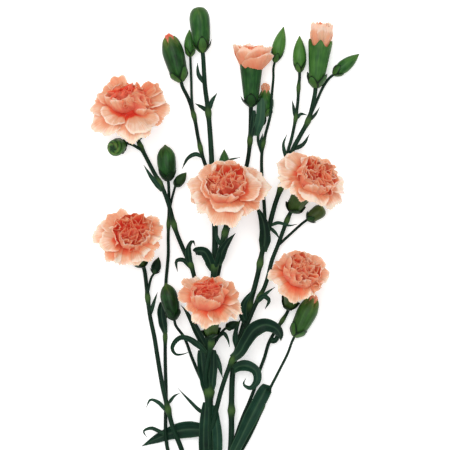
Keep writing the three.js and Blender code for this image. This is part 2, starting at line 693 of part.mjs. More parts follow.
// One fan-shaped petal: its midline lies in the plane of the axis, and the fan opens across it.
function petal(layer, matrix, { azimuth, start, scale, stretch, phase, lean }) {
  const points = layer.midline.map(([r, h]) => new THREE.Vector2(r * scale, start + h * scale));
  points[3].x *= stretch;
  const midline = new THREE.CubicBezierCurve(...points);
  const length = midline.getLength();
  const outward = new THREE.Vector3(Math.cos(azimuth), Math.sin(azimuth), 0);
  const aside = new THREE.Vector3(-Math.sin(azimuth), Math.cos(azimuth), 0);
  const point = (u, v) => {
    const side = u * 2 - 1;
    const angle = side * THREE.MathUtils.degToRad(layer.spread);
    const notch = Math.round(u * layer.cells) % 2 ? 0.06 * v : 0;
    const radius = (layer.claw + (1 - layer.claw) * v) * (1 - 0.08 * side * side - notch);
    const share = Math.min(radius * Math.cos(angle), 1);
    const across = length * radius * Math.sin(angle) * (PETAL_WAIST + (1 - PETAL_WAIST) * v);
    const middle = midline.getPoint(share);
    const along = midline.getTangent(share);
    const lift = layer.cup * across * across + lean * across
      + layer.ruffle * v * v * Math.sin(2.6 * Math.PI * u + phase);
    return new THREE.Vector3(0, 0, middle.y + along.x * lift)
      .addScaledVector(outward, middle.x - along.y * lift)
      .addScaledVector(aside, across)
      .applyMatrix4(matrix);
  };
  return blade(point, layer.cells, 2, PETAL_THICKNESS);
}

// A dense head: layers of petals round a small core that their claws grow from.
function petalHead({ layers, scale, start, matrix, seed, core }) {
  const draw = drawer(seed);
  const petals = layers.flatMap((layer, row) =>
    Array.from({ length: layer.count }, (_, i) =>
      petal(layer, matrix, {
        azimuth: ((i + (row % 2) * 0.5) / layer.count) * 2 * Math.PI + row * 0.35 + 0.1 * draw(),
        start,
        scale,
        stretch: 1 + 0.06 * draw(),
        phase: Math.PI * draw(),
        lean: 0.1 * draw(),
      }),
    ),
  );
  const floor = start - THROAT_DEPTH + SEAT_GAP;
  const heart = turned(
    [
      [0, floor], [core.neck, floor], [core.neck, start + 3], [core.radius, start + core.height * 0.68],
      [core.radius * 0.6, start + core.height], [0, start + core.height * 0.9],
    ],
    8, matrix,
    (angle, point) => {
      if (point.z > start + core.height * 0.6) point.z += 1.2 * Math.cos(4 * angle);
    },
  );
  return fuse([heart, ...petals]);
}

// ---------------------------------------------------------------- leaves and stems

// Linear leaf: clasping at its root, widest in its lower third, with a keel along the midrib.
function leaf({ route, width, roll = [0, 0], blunt = false }, cellsAlong, cellsAcross = 2) {
  const curve = new THREE.CatmullRomCurve3(route.map(vector));
  const frames = evenShares(cellsAlong).map((share) => ringFrame(curve, share));
  const halfWidth = (v) => {
    const root = 0.55 + 0.45 * Math.min(v / 0.25, 1);
    const taper = blunt ? 1 - 0.45 * v ** 6 : 1 - v ** 2.6;
    return Math.max((width / 2) * root * taper, 0.35);
  };
  const point = (u, v) => {
    const { centre, across, up } = frames[Math.round(v * cellsAlong)];
    const angle = THREE.MathUtils.degToRad(roll[0] + (roll[1] - roll[0]) * v);
    const side = (u * 2 - 1) * halfWidth(v);
    const keel = 0.16 * Math.abs(side);
    return centre.clone()
      .addScaledVector(across, side * Math.cos(angle) - keel * Math.sin(angle))
      .addScaledVector(up, side * Math.sin(angle) + keel * Math.cos(angle));
  };
  return blade(point, cellsAcross, cellsAlong, LEAF_THICKNESS);
}

// The radius at a share of a stem's length, between evenly spaced values.
function radiusAlong(values, share) {
  const place = share * (values.length - 1);
  const below = Math.min(Math.floor(place), values.length - 2);
  return THREE.MathUtils.lerp(values[below], values[below + 1], place - below);
}

// A stem has a ring at each point of its route, and three where a joint swells.
function stemTube({ curve, radius, joints }, grow = 0) {
  const reach = JOINT_LENGTH / curve.getLength();
  const near = (share, other, distance) => Math.abs(share - other) < distance;
  const clear = (share) => !joints.some((joint) => near(share, joint, reach * 1.6));
  const plain = pointShares(curve).filter(clear);
  const rings = [...plain, ...joints.flatMap((joint) => [joint - reach, joint, joint + reach])];
  const radiusAt = (share) => {
    const swelling = joints.some((joint) => near(share, joint, 1e-6)) ? JOINT_SWELLING : 1;
    return radiusAlong(radius, share) * swelling + grow;
  };
  const sides = radius[0] > 1.5 ? STEM_SIDES.thick : STEM_SIDES.thin;
  return tube(curve, radiusAt, sides, rings.sort((a, b) => a - b));
}

// ---------------------------------------------------------------- the flowers' frames

const frames = new Map();
for (const bloom of BLOOMS) {
  const { axis } = flowerFrame(bloom, new THREE.Vector3());
  frames.set(bloom.name, flowerFrame(bloom, vector(bloom.face).addScaledVector(axis, -FACE_HEIGHT)));
}
for (const flower of [...HALF_OPEN, ...BUDS, HIDDEN_BUD]) {
  frames.set(flower.name, flowerFrame(flower, vector(flower.foot)));
}

// A route that ends in line with the flower that it carries, a seat's gap short of its foot.
function curveTo(route, flowerName) {
  const { foot, axis } = frames.get(flowerName);
  const end = [STALK_LEAD, SEAT_GAP].map((back) => foot.clone().addScaledVector(axis, -back));
  return new THREE.CatmullRomCurve3([...route.map(vector), ...end]);
}

// ---------------------------------------------------------------- assembly

const spray = new THREE.Group();
const stems = new Map();
for (const plan of STEMS) stems.set(plan.name, { ...plan, curve: curveTo(plan.route, plan.carries) });
const thickened = (name) => stemTube(stems.get(name), SEAT_GAP);

// A shoot's own solids: its stalk, and the small bud that is in one piece with it.
function shootPieces({ route, radius, bud, carries }) {
  const curve = bud
    ? new THREE.CatmullRomCurve3([...route, bud.foot].map(vector))
    : curveTo(route, carries);
  const stalk = tube(curve, () => radius, STEM_SIDES.thin, pointShares(curve));
  if (!bud) return [stalk];
  const { foot, axis, matrix } = flowerFrame(bud, vector(bud.foot));
  matrix.setPosition(foot.clone().addScaledVector(axis, -ROOT_SUNK));
  return [stalk, closedBud(bud, matrix)];
}

for (const stem of stems.values()) {
  const pieces = [stemTube(stem)];
  pieces.push(...SHOOTS.filter((shoot) => shoot.stem === stem.name).flatMap(shootPieces));
  for (const small of SMALL_LEAVES[stem.name] ?? []) pieces.push(leaf(small, small.route.length - 1, 1));
  let body = fuse(pieces);
  if (stem.from) body = body.subtract(thickened(stem.from));
  spray.add(toMesh(stem.name, tidy(body), STEM_GREEN, vector(stem.route[0])));
}

for (const plan of LEAVES) {
  const whole = leaf(plan, plan.route.length);
  const body = plan.from.reduce((left, name) => left.subtract(thickened(name)), whole);
  spray.add(toMesh(plan.name, tidy(body), LEAF_GREEN, vector(plan.route[0])));
}

for (const bloom of BLOOMS) {
  const { foot, matrix } = frames.get(bloom.name);
  const scale = bloom.radius / LAYER_RADIUS;
  const head = petalHead({
    layers: BLOOM_LAYERS, scale, start: CALYX_LENGTH, matrix, seed: bloom.seed,
    core: { neck: THROAT_NECK, radius: 8 * scale, height: 15 * scale },
  });
  const cup = calyx(CALYX_LENGTH, CALYX_RADIUS, matrix);
  const petals = head.subtract(calyx(CALYX_LENGTH, CALYX_RADIUS, matrix, SEAT_GAP));
  spray.add(toMesh(bloom.name + "_calyx", tidy(cup), CALYX_GREEN, foot));
  spray.add(toMesh(bloom.name + "_petals", tidy(petals), PETAL_CORAL, foot));
}

for (const flower of HALF_OPEN) {
  const { foot, matrix } = frames.get(flower.name);
  const { calyxLength, calyxRadius, layers, core, seed } = flower;
  const head = petalHead({ layers, scale: 1, start: calyxLength, matrix, seed, core });
  const petals = head.subtract(calyx(calyxLength, calyxRadius, matrix, SEAT_GAP));
  const cup = calyx(calyxLength, calyxRadius, matrix);
  spray.add(toMesh(flower.name + "_calyx", tidy(cup), CALYX_GREEN, foot));
  spray.add(toMesh(flower.name + "_petals", tidy(petals), PETAL_CORAL, foot));
}

for (const bud of BUDS) {
  const { foot, matrix } = frames.get(bud.name);
  spray.add(toMesh(bud.name, tidy(closedBud(bud, matrix)), BUD_GREEN, foot));
  if (!bud.shows) continue;
  spray.add(toMesh(bud.name + "_petals", tidy(showingPetals(bud, matrix)), PETAL_TIP, foot));
}

const hidden = frames.get(HIDDEN_BUD.name);
const hiddenEnd = hidden.foot.clone().addScaledVector(hidden.axis, 1);
const hiddenCurve = new THREE.CatmullRomCurve3([...HIDDEN_BUD.route.map(vector), hiddenEnd]);
const hiddenStalk = tube(hiddenCurve, () => HIDDEN_BUD.stalkRadius, STEM_SIDES.thin, evenShares(3));
const hiddenWhole = fuse([closedBud(HIDDEN_BUD, hidden.matrix), hiddenStalk]);
const hiddenBody = hiddenWhole.subtract(thickened(HIDDEN_BUD.from));
spray.add(toMesh(HIDDEN_BUD.name, tidy(hiddenBody), BUD_GREEN, hidden.foot));

export default spray;
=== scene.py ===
"""A cut spray carnation that lies on a pale table and is seen from straight above.

One flowering stem carries six open blooms, two half-open flowers and buds of every age on thin
branches, with narrow waxy leaves at the joints. Lengths in the plan are millimetres in the frame of
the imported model: the spray lies along Y, its flowers towards +Y, and the table is at Z 0. In the
formulas, v runs from 0 at a piece's foot to 1 at its tip, u from side to side and a round its axis,
and bare numbers there are shares of the piece's own size, or powers and counts of its waves.
"""

import logging
import math
from dataclasses import dataclass, field, replace
from enum import Enum

import bpy
import mathutils
import numpy as np
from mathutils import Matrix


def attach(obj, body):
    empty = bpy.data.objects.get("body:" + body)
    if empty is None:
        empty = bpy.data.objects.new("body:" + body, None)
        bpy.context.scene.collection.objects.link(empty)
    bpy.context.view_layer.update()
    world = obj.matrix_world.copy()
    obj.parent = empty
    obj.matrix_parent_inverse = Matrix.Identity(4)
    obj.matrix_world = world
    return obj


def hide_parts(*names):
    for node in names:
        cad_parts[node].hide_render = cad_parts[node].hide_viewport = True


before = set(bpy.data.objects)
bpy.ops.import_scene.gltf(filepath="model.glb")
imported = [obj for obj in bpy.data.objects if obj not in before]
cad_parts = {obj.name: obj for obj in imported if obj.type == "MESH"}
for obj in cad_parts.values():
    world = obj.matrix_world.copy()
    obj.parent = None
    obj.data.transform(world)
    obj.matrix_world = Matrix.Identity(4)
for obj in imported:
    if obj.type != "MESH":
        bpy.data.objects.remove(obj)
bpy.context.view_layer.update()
LOG = logging.getLogger("carnation")

MM = 0.001
BODY = "root"
SEAM_ANGLE = 62.0  # degrees, from which an edge is drawn sharp
TABLE_BED = 0.8  # the height under which pieces are pressed together above the table

# The lengths that flowers and buds share.
SEAT_DEPTH = 0.3  # how far a stalk runs on into its flower's foot
STALK_LEAD = 4.0  # the straight end of a stalk, in line with its flower
FOOT_OVERLAP = 0.6  # how far a bud's foot is drawn back over its stalk
CALYX_LENGTH = 24.0
CALYX_RADIUS = 6.2
FACE_HEIGHT = 31.0  # from a bloom's foot to the middle of its face
LAYER_RADIUS = 22.5  # the radius of the head that whorls are drawn for
BALL_HEIGHT = 18.5  # the height of the ball that ball_whorls draws

AROUND = 6.3  # about a whole turn, in radians
ANY_TURN = 6.0  # the range of random turns and phases, in radians
TONE_SPREAD = 0.2  # the range of the tones of pieces of one kind

Array = np.ndarray
Point = tuple[float, float, float]
Colour = tuple[float, float, float, float]
Traits = dict[str, Array | float]
Guard = tuple[float, float, float, float]  # Flower says what a guard's and a ball's numbers are
Ball = tuple[float, float, float, float, float]


class Slot(Enum):
    """The names of the record's material slots. No piece here takes its finish from them; Finishes gives
    each piece its material.
    """

    PETAL = "petal"
    PETAL_TIP = "petal_tip"
    CALYX = "calyx"
    BUD = "bud"
    LEAF = "leaf"
    STEM = "stem"


class BudTop(Enum):
    """How a bud's outline closes, as (radius, height) knots, both in shares of its own."""

    POINTED = ((0.98, 0.42), (0.84, 0.66), (0.5, 0.86), (0.24, 0.96), (0.05, 1.04))
    PLUMP = ((0.96, 0.42), (0.98, 0.64), (0.82, 0.82), (0.5, 0.94), (0.24, 0.99), (0.05, 1.04))
    ROUNDED = ((0.94, 0.5), (1.0, 0.7), (0.92, 0.84), (0.68, 0.94), (0.38, 0.985), (0.06, 1.0))
    OPENING = ((0.94, 0.5), (1.0, 0.7), (0.92, 0.85), (0.7, 0.96), (0.5, 1.0))
    NARROW = ((0.97, 0.42), (1.0, 0.6), (0.84, 0.78), (0.58, 0.92), (0.4, 1.0))


# Outlines as (radius, height) knots, in shares of the bud's or the calyx's own radius and length. The
# heart's are in millimetres, from the throat.
BUD_FOOT = ((0.26, 0.0), (0.42, 0.07), (0.74, 0.2))
CALYX_OUTLINE = ((0.24, 0), (0.36, 0.03), (0.56, 0.12), (0.67, 0.25), (0.8, 0.5), (0.94, 0.8), (1.06, 1))
HEART_OUTLINE = ((0.4, -2.2), (4.1, -2.1), (4.3, -1), (4.3, 2.5), (5.6, 6), (4.4, 10), (0.6, 12))


def shown(red: int, green: int, blue: int) -> Colour:
    """Turns a colour as a screen shows it into the linear one that shaders use.

    Args:
        red: The red value, 0 to 255.
        green: The green value, 0 to 255.
        blue: The blue value, 0 to 255.

    Returns:
        The linear colour with an alpha of 1.
    """
    parts = [value / 255 for value in (red, green, blue)]
    linear = [((part + 0.055) / 1.055) ** 2.4 if part > 0.04045 else part / 12.92 for part in parts]
    return (linear[0], linear[1], linear[2], 1.0)


# ------------------------------------------------------------------------------ shader building


class Field:
    """A socket whose value varies over a surface, and which takes part in arithmetic."""

    def __init__(self, tree: bpy.types.NodeTree, socket: bpy.types.NodeSocket) -> None:
        """Keeps the socket, and the tree that its Math nodes go in."""
        self.tree = tree
        self.socket = socket

    def _maths(self, operation: str, left: "Field | float", right: "Field | float") -> "Field":
        """Adds one Math node.

        Args:
            operation: The Math node's operation.
            left: The first term.
            right: The second term.

        Returns:
            The node's value.
        """
        node = self.tree.nodes.new("ShaderNodeMath")
        node.operation = operation
        for socket, term in zip(node.inputs, (left, right)):
            if isinstance(term, Field):
                self.tree.links.new(term.socket, socket)
            else:
                socket.default_value = term
        return Field(self.tree, node.outputs[0])

    def __add__(self, other: "Field | float") -> "Field":
        """The sum."""
        return self._maths("ADD", self, other)

    def __radd__(self, other: float) -> "Field":
        """The sum, with the number first."""
        return self._maths("ADD", other, self)

    def __sub__(self, other: "Field | float") -> "Field":
        """The difference."""
        return self._maths("SUBTRACT", self, other)

    def __mul__(self, other: "Field | float") -> "Field":
        """The product."""
        return self._maths("MULTIPLY", self, other)


class Surface:
    """A material in the making: nodes are added one at a time, and each is read as a field."""

    def __init__(self, name: str) -> None:
        """Starts an empty material.

        Args:
            name: Its name.
        """
        self.material = bpy.data.materials.new(name)
        self.material.use_nodes = True
        self.tree = self.material.node_tree
        self.tree.nodes.clear()

    def _add(
        self,
        kind: str,
        settings: dict[str, object] | None = None,
        sockets: dict[str | int, object] | None = None,
    ) -> bpy.types.ShaderNode:
        """Adds a node of any type.

        Args:
            kind: The node's type, without its ShaderNode prefix.
            settings: The node's own settings, and a colour ramp's stops under "stops".
            sockets: The values or fields of its input sockets.

        Returns:
            The node.
        """
        node = self.tree.nodes.new("ShaderNode" + kind)
        for name, value in (settings or {}).items():
            if name == "stops":
                self._set_stops(node.color_ramp, value)
            else:
                setattr(node, name, value)
        for name, value in (sockets or {}).items():
            if isinstance(value, Field):
                self.tree.links.new(value.socket, node.inputs[name])
            else:
                node.inputs[name].default_value = value
        return node

    def node(
        self,
        kind: str,
        settings: dict[str, object] | None = None,
        sockets: dict[str | int, object] | None = None,
        output: str | int = 0,
    ) -> Field:
        """Adds a node and reads one of its outputs.

        Args:
            kind: The node's type, without its ShaderNode prefix.
            settings: The node's own settings.
            sockets: The values or fields of its input sockets.
            output: The output socket that is wanted.

        Returns:
            That output.
        """
        return Field(self.tree, self._add(kind, settings, sockets).outputs[output])

    @staticmethod
    def _set_stops(ramp: bpy.types.ColorRamp, stops: list[tuple[float, Colour]]) -> None:
        """Gives a colour ramp its stops.

        Args:
            ramp: The ramp, as new.
            stops: Positions from 0 to 1 in order, with their colours.
        """
        while len(ramp.elements) < len(stops):
            ramp.elements.new(0.5)
        for element, (position, colour) in zip(ramp.elements, stops):
            element.position = position
            element.color = colour

    def trait(self, name: str) -> Field:
        """Reads a trait that the mesh holds at its vertices."""
        return self.node("Attribute", {"attribute_name": name}, output="Fac")

    def place(self) -> Field:
        """The place on the object, in metres."""
        return self.node("TexCoord", output="Object")

    def noise(self, where: Field, scale: float, detail: float = 3.0) -> Field:
        """Cloudy noise.

        Args:
            where: The coordinates that it is read at.
            scale: How many clouds there are to a unit.
            detail: How many finer octaves it has.

        Returns:
            A value about 0.5.
        """
        return self.node("TexNoise", sockets={"Vector": where, "Scale": scale, "Detail": detail})

    def streaks(self, across: Field, along: Field, shift: Field) -> Field:
        """Noise in streaks, drawn out along the piece.

        Args:
            across: How far across the piece a point is, in streaks.
            along: How far along it a point is, in lengths of a streak.
            shift: A shift that gives each piece its own streaks.

        Returns:
            A value about 0.5.
        """
        where = self.node("CombineXYZ", sockets={0: across, 1: along, 2: shift})
        return self.noise(where, 1.0, 4.0)

    def ramp(self, value: Field, stops: list[tuple[float, Colour]]) -> Field:
        """Reads a colour off a ramp."""
        return self.node("ValToRGB", {"stops": stops}, {"Fac": value})

    def mix(self, share: Field | float, first: Field | Colour, second: Field | Colour) -> Field:
        """Mixes two colours.

        Args:
            share: The second colour's share.
            first: The first colour.
            second: The second colour.

        Returns:
            The mixed colour.
        """
        settings = {"data_type": "RGBA", "clamp_factor": True}
        return self.node("Mix", settings, {0: share, 6: first, 7: second}, output=2)

    def bump(self, height: Field, depth: float, strength: float) -> Field:
        """A normal that a height in a depth, in metres, has bent."""
        return self.node("Bump", sockets={"Height": height, "Distance": depth, "Strength": strength})

    def finish(self, sockets: dict[str | int, object]) -> bpy.types.Material:
        """Ends the material in a Principled shader.

        Args:
            sockets: The values or fields of the shader's sockets.

        Returns:
            The finished material.
        """
        shader = self.node("BsdfPrincipled", sockets=sockets)
        self._add("OutputMaterial", sockets={"Surface": shader})
        return self.material


# ------------------------------------------------------------------------------ finishes


@dataclass(frozen=True)
class PetalSatin:
    """Petal skin: deep coral in the heart, peach over the blade and cream along the margin.

    It reads the traits warmth, fan, reach, tone and under. The weights say how far veins, clouds and
    the petal's own tone move a point along the ramp of colours. Depths are in metres.
    """

    name: str = "petal_satin"
    cream: Colour = shown(216, 197, 182)
    peach: Colour = shown(199, 153, 124)
    apricot: Colour = shown(196, 125, 90)
    coral: Colour = shown(196, 84, 55)
    heart: Colour = shown(190, 40, 30)
    ramp_places: tuple[float, ...] = (0.0, 0.22, 0.46, 0.71, 0.95)
    back: Colour = shown(208, 144, 116)
    back_share: float = 0.35
    vein_count: float = 26.0
    vein_lengths: float = 2.2
    vein_shift: float = 23.0
    vein_weight: float = 0.34
    vein_depth: float = 0.00035
    vein_strength: float = 0.55
    cloud_count: float = 240.0
    cloud_weight: float = 0.2
    tone_weight: float = 0.12
    roughness: float = 0.52
    roughness_clouds: float = 0.2
    shine: float = 0.28
    softness: float = 0.7
    bleed: tuple[float, float, float] = (1.0, 0.5, 0.32)
    bleed_depth: float = 0.0011
    # painted glow: an emission, more orange where the colour is warmer, stands in for light that passes
    # through the petals and lifts their shade
    through: Colour = shown(255, 128, 84)
    painted_glow_share: float = 0.3
    glow: float = 0.15

    def material(self) -> bpy.types.Material:
        """Builds the material.

        Returns:
            The material.
        """
        surface = Surface(self.name)
        tone = surface.trait("tone")
        across = surface.trait("fan") * self.vein_count
        along = surface.trait("reach") * self.vein_lengths
        veins = surface.streaks(across, along, tone * self.vein_shift)
        clouds = surface.noise(surface.place(), self.cloud_count)
        warmth = surface.trait("warmth") + (veins - 0.5) * self.vein_weight
        warmth = warmth + (clouds - 0.5) * self.cloud_weight + (tone - 0.5) * self.tone_weight
        colours = (self.cream, self.peach, self.apricot, self.coral, self.heart)
        face = surface.ramp(warmth, list(zip(self.ramp_places, colours)))
        colour = surface.mix(surface.trait("under") * self.back_share, face, self.back)
        return surface.finish(
            {
                "Base Color": colour,
                "Roughness": self.roughness + clouds * self.roughness_clouds,
                "Specular IOR Level": self.shine,
                "Subsurface Weight": self.softness,
                "Subsurface Radius": self.bleed,
                "Subsurface Scale": self.bleed_depth,
                # painted glow: the petals give off a little light of their own colour, warmed towards
                # orange in the warm creases
                "Emission Color": surface.mix(warmth * self.painted_glow_share, colour, self.through),
                "Emission Strength": self.glow,
                "Normal": surface.bump(veins, self.vein_depth, self.vein_strength),
            }
        )


@dataclass(frozen=True)
class WaxyGreen:
    """Green skin with a thin wax: streaks along the piece, clouds over it and paler joints and tips.

    It reads the traits along, around, tone and pale. The weights say how far streaks, clouds and the
    piece's own tone move a point along the ramp of greens. The relief and the bleed's depth are in
    metres.
    """

    name: str
    deep: Colour
    body: Colour
    lit: Colour
    faded: Colour
    ramp_places: tuple[float, ...] = (0.25, 0.52, 0.85)
    streak_count: float = 22.0
    streak_lengths: float = 3.0
    streak_shift: float = 19.0
    streak_weight: float = 0.55
    cloud_count: float = 130.0
    cloud_weight: float = 0.5
    tone_weight: float = 0.3
    shade: float = 0.02
    fade_least: float = 0.55
    fade_clouds: float = 0.7
    roughness: float = 0.42
    roughness_clouds: float = 0.3
    roughness_grain: float = 0.12
    shine: float = 0.35
    grain_count: float = 1700.0
    grain_relief: float = 0.3
    relief: float = 0.00025
    relief_strength: float = 0.6
    softness: float = 0.06
    bleed: tuple[float, float, float] = (0.4, 1.0, 0.3)
    bleed_depth: float = 0.0008

    def material(self) -> bpy.types.Material:
        """Builds the material.

        Returns:
            The material.
        """
        surface = Surface(self.name)
        tone = surface.trait("tone")
        across = surface.trait("around") * self.streak_count
        along = surface.trait("along") * self.streak_lengths
        streaks = surface.streaks(across, along, tone * self.streak_shift)
        clouds = surface.noise(surface.place(), self.cloud_count)
        grain = surface.noise(surface.place(), self.grain_count, 2.0)
        light = streaks * self.streak_weight + clouds * self.cloud_weight
        light = light + (tone - 0.5) * self.tone_weight - self.shade
        green = surface.ramp(light, list(zip(self.ramp_places, (self.deep, self.body, self.lit))))
        fade = surface.trait("pale") * (self.fade_least + clouds * self.fade_clouds)
        matt = self.roughness + (clouds - 0.5) * self.roughness_clouds
        height = streaks + grain * self.grain_relief
        return surface.finish(
            {
                "Base Color": surface.mix(fade, green, self.faded),
                "Roughness": matt + (grain - 0.5) * self.roughness_grain,
                "Specular IOR Level": self.shine,
                "Subsurface Weight": self.softness,
                "Subsurface Radius": self.bleed,
                "Subsurface Scale": self.bleed_depth,
                "Normal": surface.bump(height, self.relief, self.relief_strength),
            }
        )


@dataclass(frozen=True)
class PalePlaster:
    """The matt pale surface that the spray lies on, faintly lit through as a light table is."""

    name: str = "pale_table"
    colour: Colour = (0.93, 0.93, 0.925, 1.0)
    roughness: float = 0.9
    shine: float = 0.1
    glow: float = 0.32

    def material(self) -> bpy.types.Material:
        """Builds the material.

        Returns:
            The material.
        """
        return Surface(self.name).finish(
            {
                "Base Color": self.colour,
                "Roughness": self.roughness,
                "Specular IOR Level": self.shine,
                "Emission Color": self.colour,
                "Emission Strength": self.glow,
            }
        )


class Finishes:
    """Every finish of the spray, each built once."""

    def __init__(self) -> None:
        """Builds the materials."""
        self.petal = PetalSatin().material()
        self.stem = WaxyGreen(
            "stem_wax",
            deep=shown(0, 17, 9),
            body=shown(6, 34, 20),
            lit=shown(26, 56, 38),
            faded=shown(78, 110, 52),
            roughness=0.5,
            shine=0.1,
        ).material()
        self.leaf = WaxyGreen(
            "leaf_wax",
            deep=shown(2, 24, 16),
            body=shown(10, 44, 30),
            lit=shown(30, 66, 50),
            faded=shown(64, 94, 66),
            streak_count=16.0,
            roughness=0.48,
            shine=0.12,
        ).material()
        self.calyx = WaxyGreen(
            "calyx_wax",
            deep=shown(2, 30, 8),
            body=shown(24, 70, 26),
            lit=shown(64, 110, 46),
            faded=shown(96, 112, 54),
            streak_count=34.0,
            shine=0.18,
        ).material()
        self.bud = WaxyGreen(
            "bud_wax",
            deep=shown(4, 34, 8),
            body=shown(28, 76, 26),
            lit=shown(70, 118, 48),
            faded=shown(104, 118, 54),
            streak_count=30.0,
            shine=0.2,
        ).material()


# ------------------------------------------------------------------------------ geometry


class Route:
    """A smooth curve through points in millimetres, read by shares of its length."""

    STEPS = 24

    def __init__(self, points: list[Point] | Array) -> None:
        """Draws the centripetal curve through the points.

        Args:
            points: The points that it passes, from its root to its tip.
        """
        knots = np.array(points, float)
        ring = np.vstack([2 * knots[0] - knots[1], knots, 2 * knots[-1] - knots[-2]])
        spans = [self._span(ring[i : i + 4]) for i in range(len(knots) - 1)]
        self.line = np.vstack([*spans, knots[-1:]])
        steps = np.linalg.norm(np.diff(self.line, axis=0), axis=1)
        travelled = np.concatenate([[0.0], np.cumsum(steps)])
        self.length = float(travelled[-1])
        self.shares = travelled / self.length
        self.slopes = np.gradient(self.line, self.shares, axis=0)

    @classmethod
    def _span(cls, four: Array) -> Array:
        """One span of the curve, between the middle two of four points.

        Args:
            four: The point before the span, its two ends and the point after it.

        Returns:
            The points along it, without its far end.
        """
        first, start, end, last = four
        before, between, after = (math.sqrt(np.linalg.norm(b - a)) for a, b in zip(four, four[1:]))
        leave = (start - first) / before - (end - first) / (before + between)
        leave = (leave + (end - start) / between) * between
        arrive = (end - start) / between - (last - start) / (between + after)
        arrive = (arrive + (last - end) / after) * between
        t = np.linspace(0, 1, cls.STEPS, endpoint=False)[:, None]
        cubic = (2 * start - 2 * end + leave + arrive) * t**3
        square = (3 * end - 3 * start - 2 * leave - arrive) * t**2
        return cubic + square + leave * t + start

    @staticmethod
    def _read(shares: Array, places: Array, rows: Array) -> Array:
        """Reads rows of a table between their places."""
        return np.stack([np.interp(shares, places, axis) for axis in rows.T], axis=-1)

    def frames(self, shares: Array) -> tuple[Array, Array, Array]:
        """The frames at shares of the length.

        Args:
            shares: Values from 0 to 1.

        Returns:
            The centres, the level directions across the curve and the directions up from it.
        """
        along = unit(self._read(shares, self.shares, self.slopes))
        across = unit(np.stack([along[:, 1], -along[:, 0], 0 * along[:, 0]], axis=-1))
        return self._read(shares, self.shares, self.line), across, np.cross(across, along)


def unit(vectors: Array) -> Array:
    """Vectors of length 1."""
    return vectors / np.maximum(np.linalg.norm(vectors, axis=-1, keepdims=True), 1e-9)


def eased(places: Array, knots: list[tuple[float, float]]) -> Array:
    """Reads a smooth curve that never overshoots its knots.

    Args:
        places: Where it is read.
        knots: Places in order, with the values there.

    Returns:
        The values.
    """
    x, y = np.array(knots, float).T
    steps = np.diff(y) / np.diff(x)
    slopes = np.concatenate([[steps[0]], (steps[1:] + steps[:-1]) / 2, [steps[-1]]])
    turning = np.concatenate([[False], steps[1:] * steps[:-1] <= 0, [False]])
    slopes = np.where(turning, 0, slopes)
    i = np.clip(np.searchsorted(x, places, side="right") - 1, 0, len(x) - 2)
    width = x[i + 1] - x[i]
    t = np.clip((places - x[i]) / width, 0, 1)
    start = y[i] * (1 + 2 * t) * (1 - t) ** 2 + slopes[i] * width * t * (1 - t) ** 2
    return start + y[i + 1] * t * t * (3 - 2 * t) + slopes[i + 1] * width * t * t * (t - 1)


def outline(shares: Array, knots: tuple[tuple[float, float], ...]) -> Array:
    """Reads an outline's radius, of (radius, height) knots, at shares of its height."""
    return eased(shares, [(height, radius) for radius, height in knots])


def rising(places: Array, start: float, over: float) -> Array:
    """A ramp from 0 at its start to 1 where it is over."""
    return np.clip((places - start) / over, 0, 1)


def round_angles(sides: int) -> Array:
    """Even angles round an axis."""
    return np.arange(sides) * 2 * math.pi / sides


def turned(angles: Array, radii: Array, heights: Array) -> Array:
    """Rings of points round a flower's axis, in its own frame."""
    return np.stack([radii * np.cos(angles), radii * np.sin(angles), heights + 0 * angles], axis=-1)


def fivefold(angles: Array, sharp: float) -> Array:
    """A wave of five points round a flower, 1 at a point and 0 between; sharp makes them narrow."""
    return ((1 + np.sin(5 * angles)) / 2) ** sharp


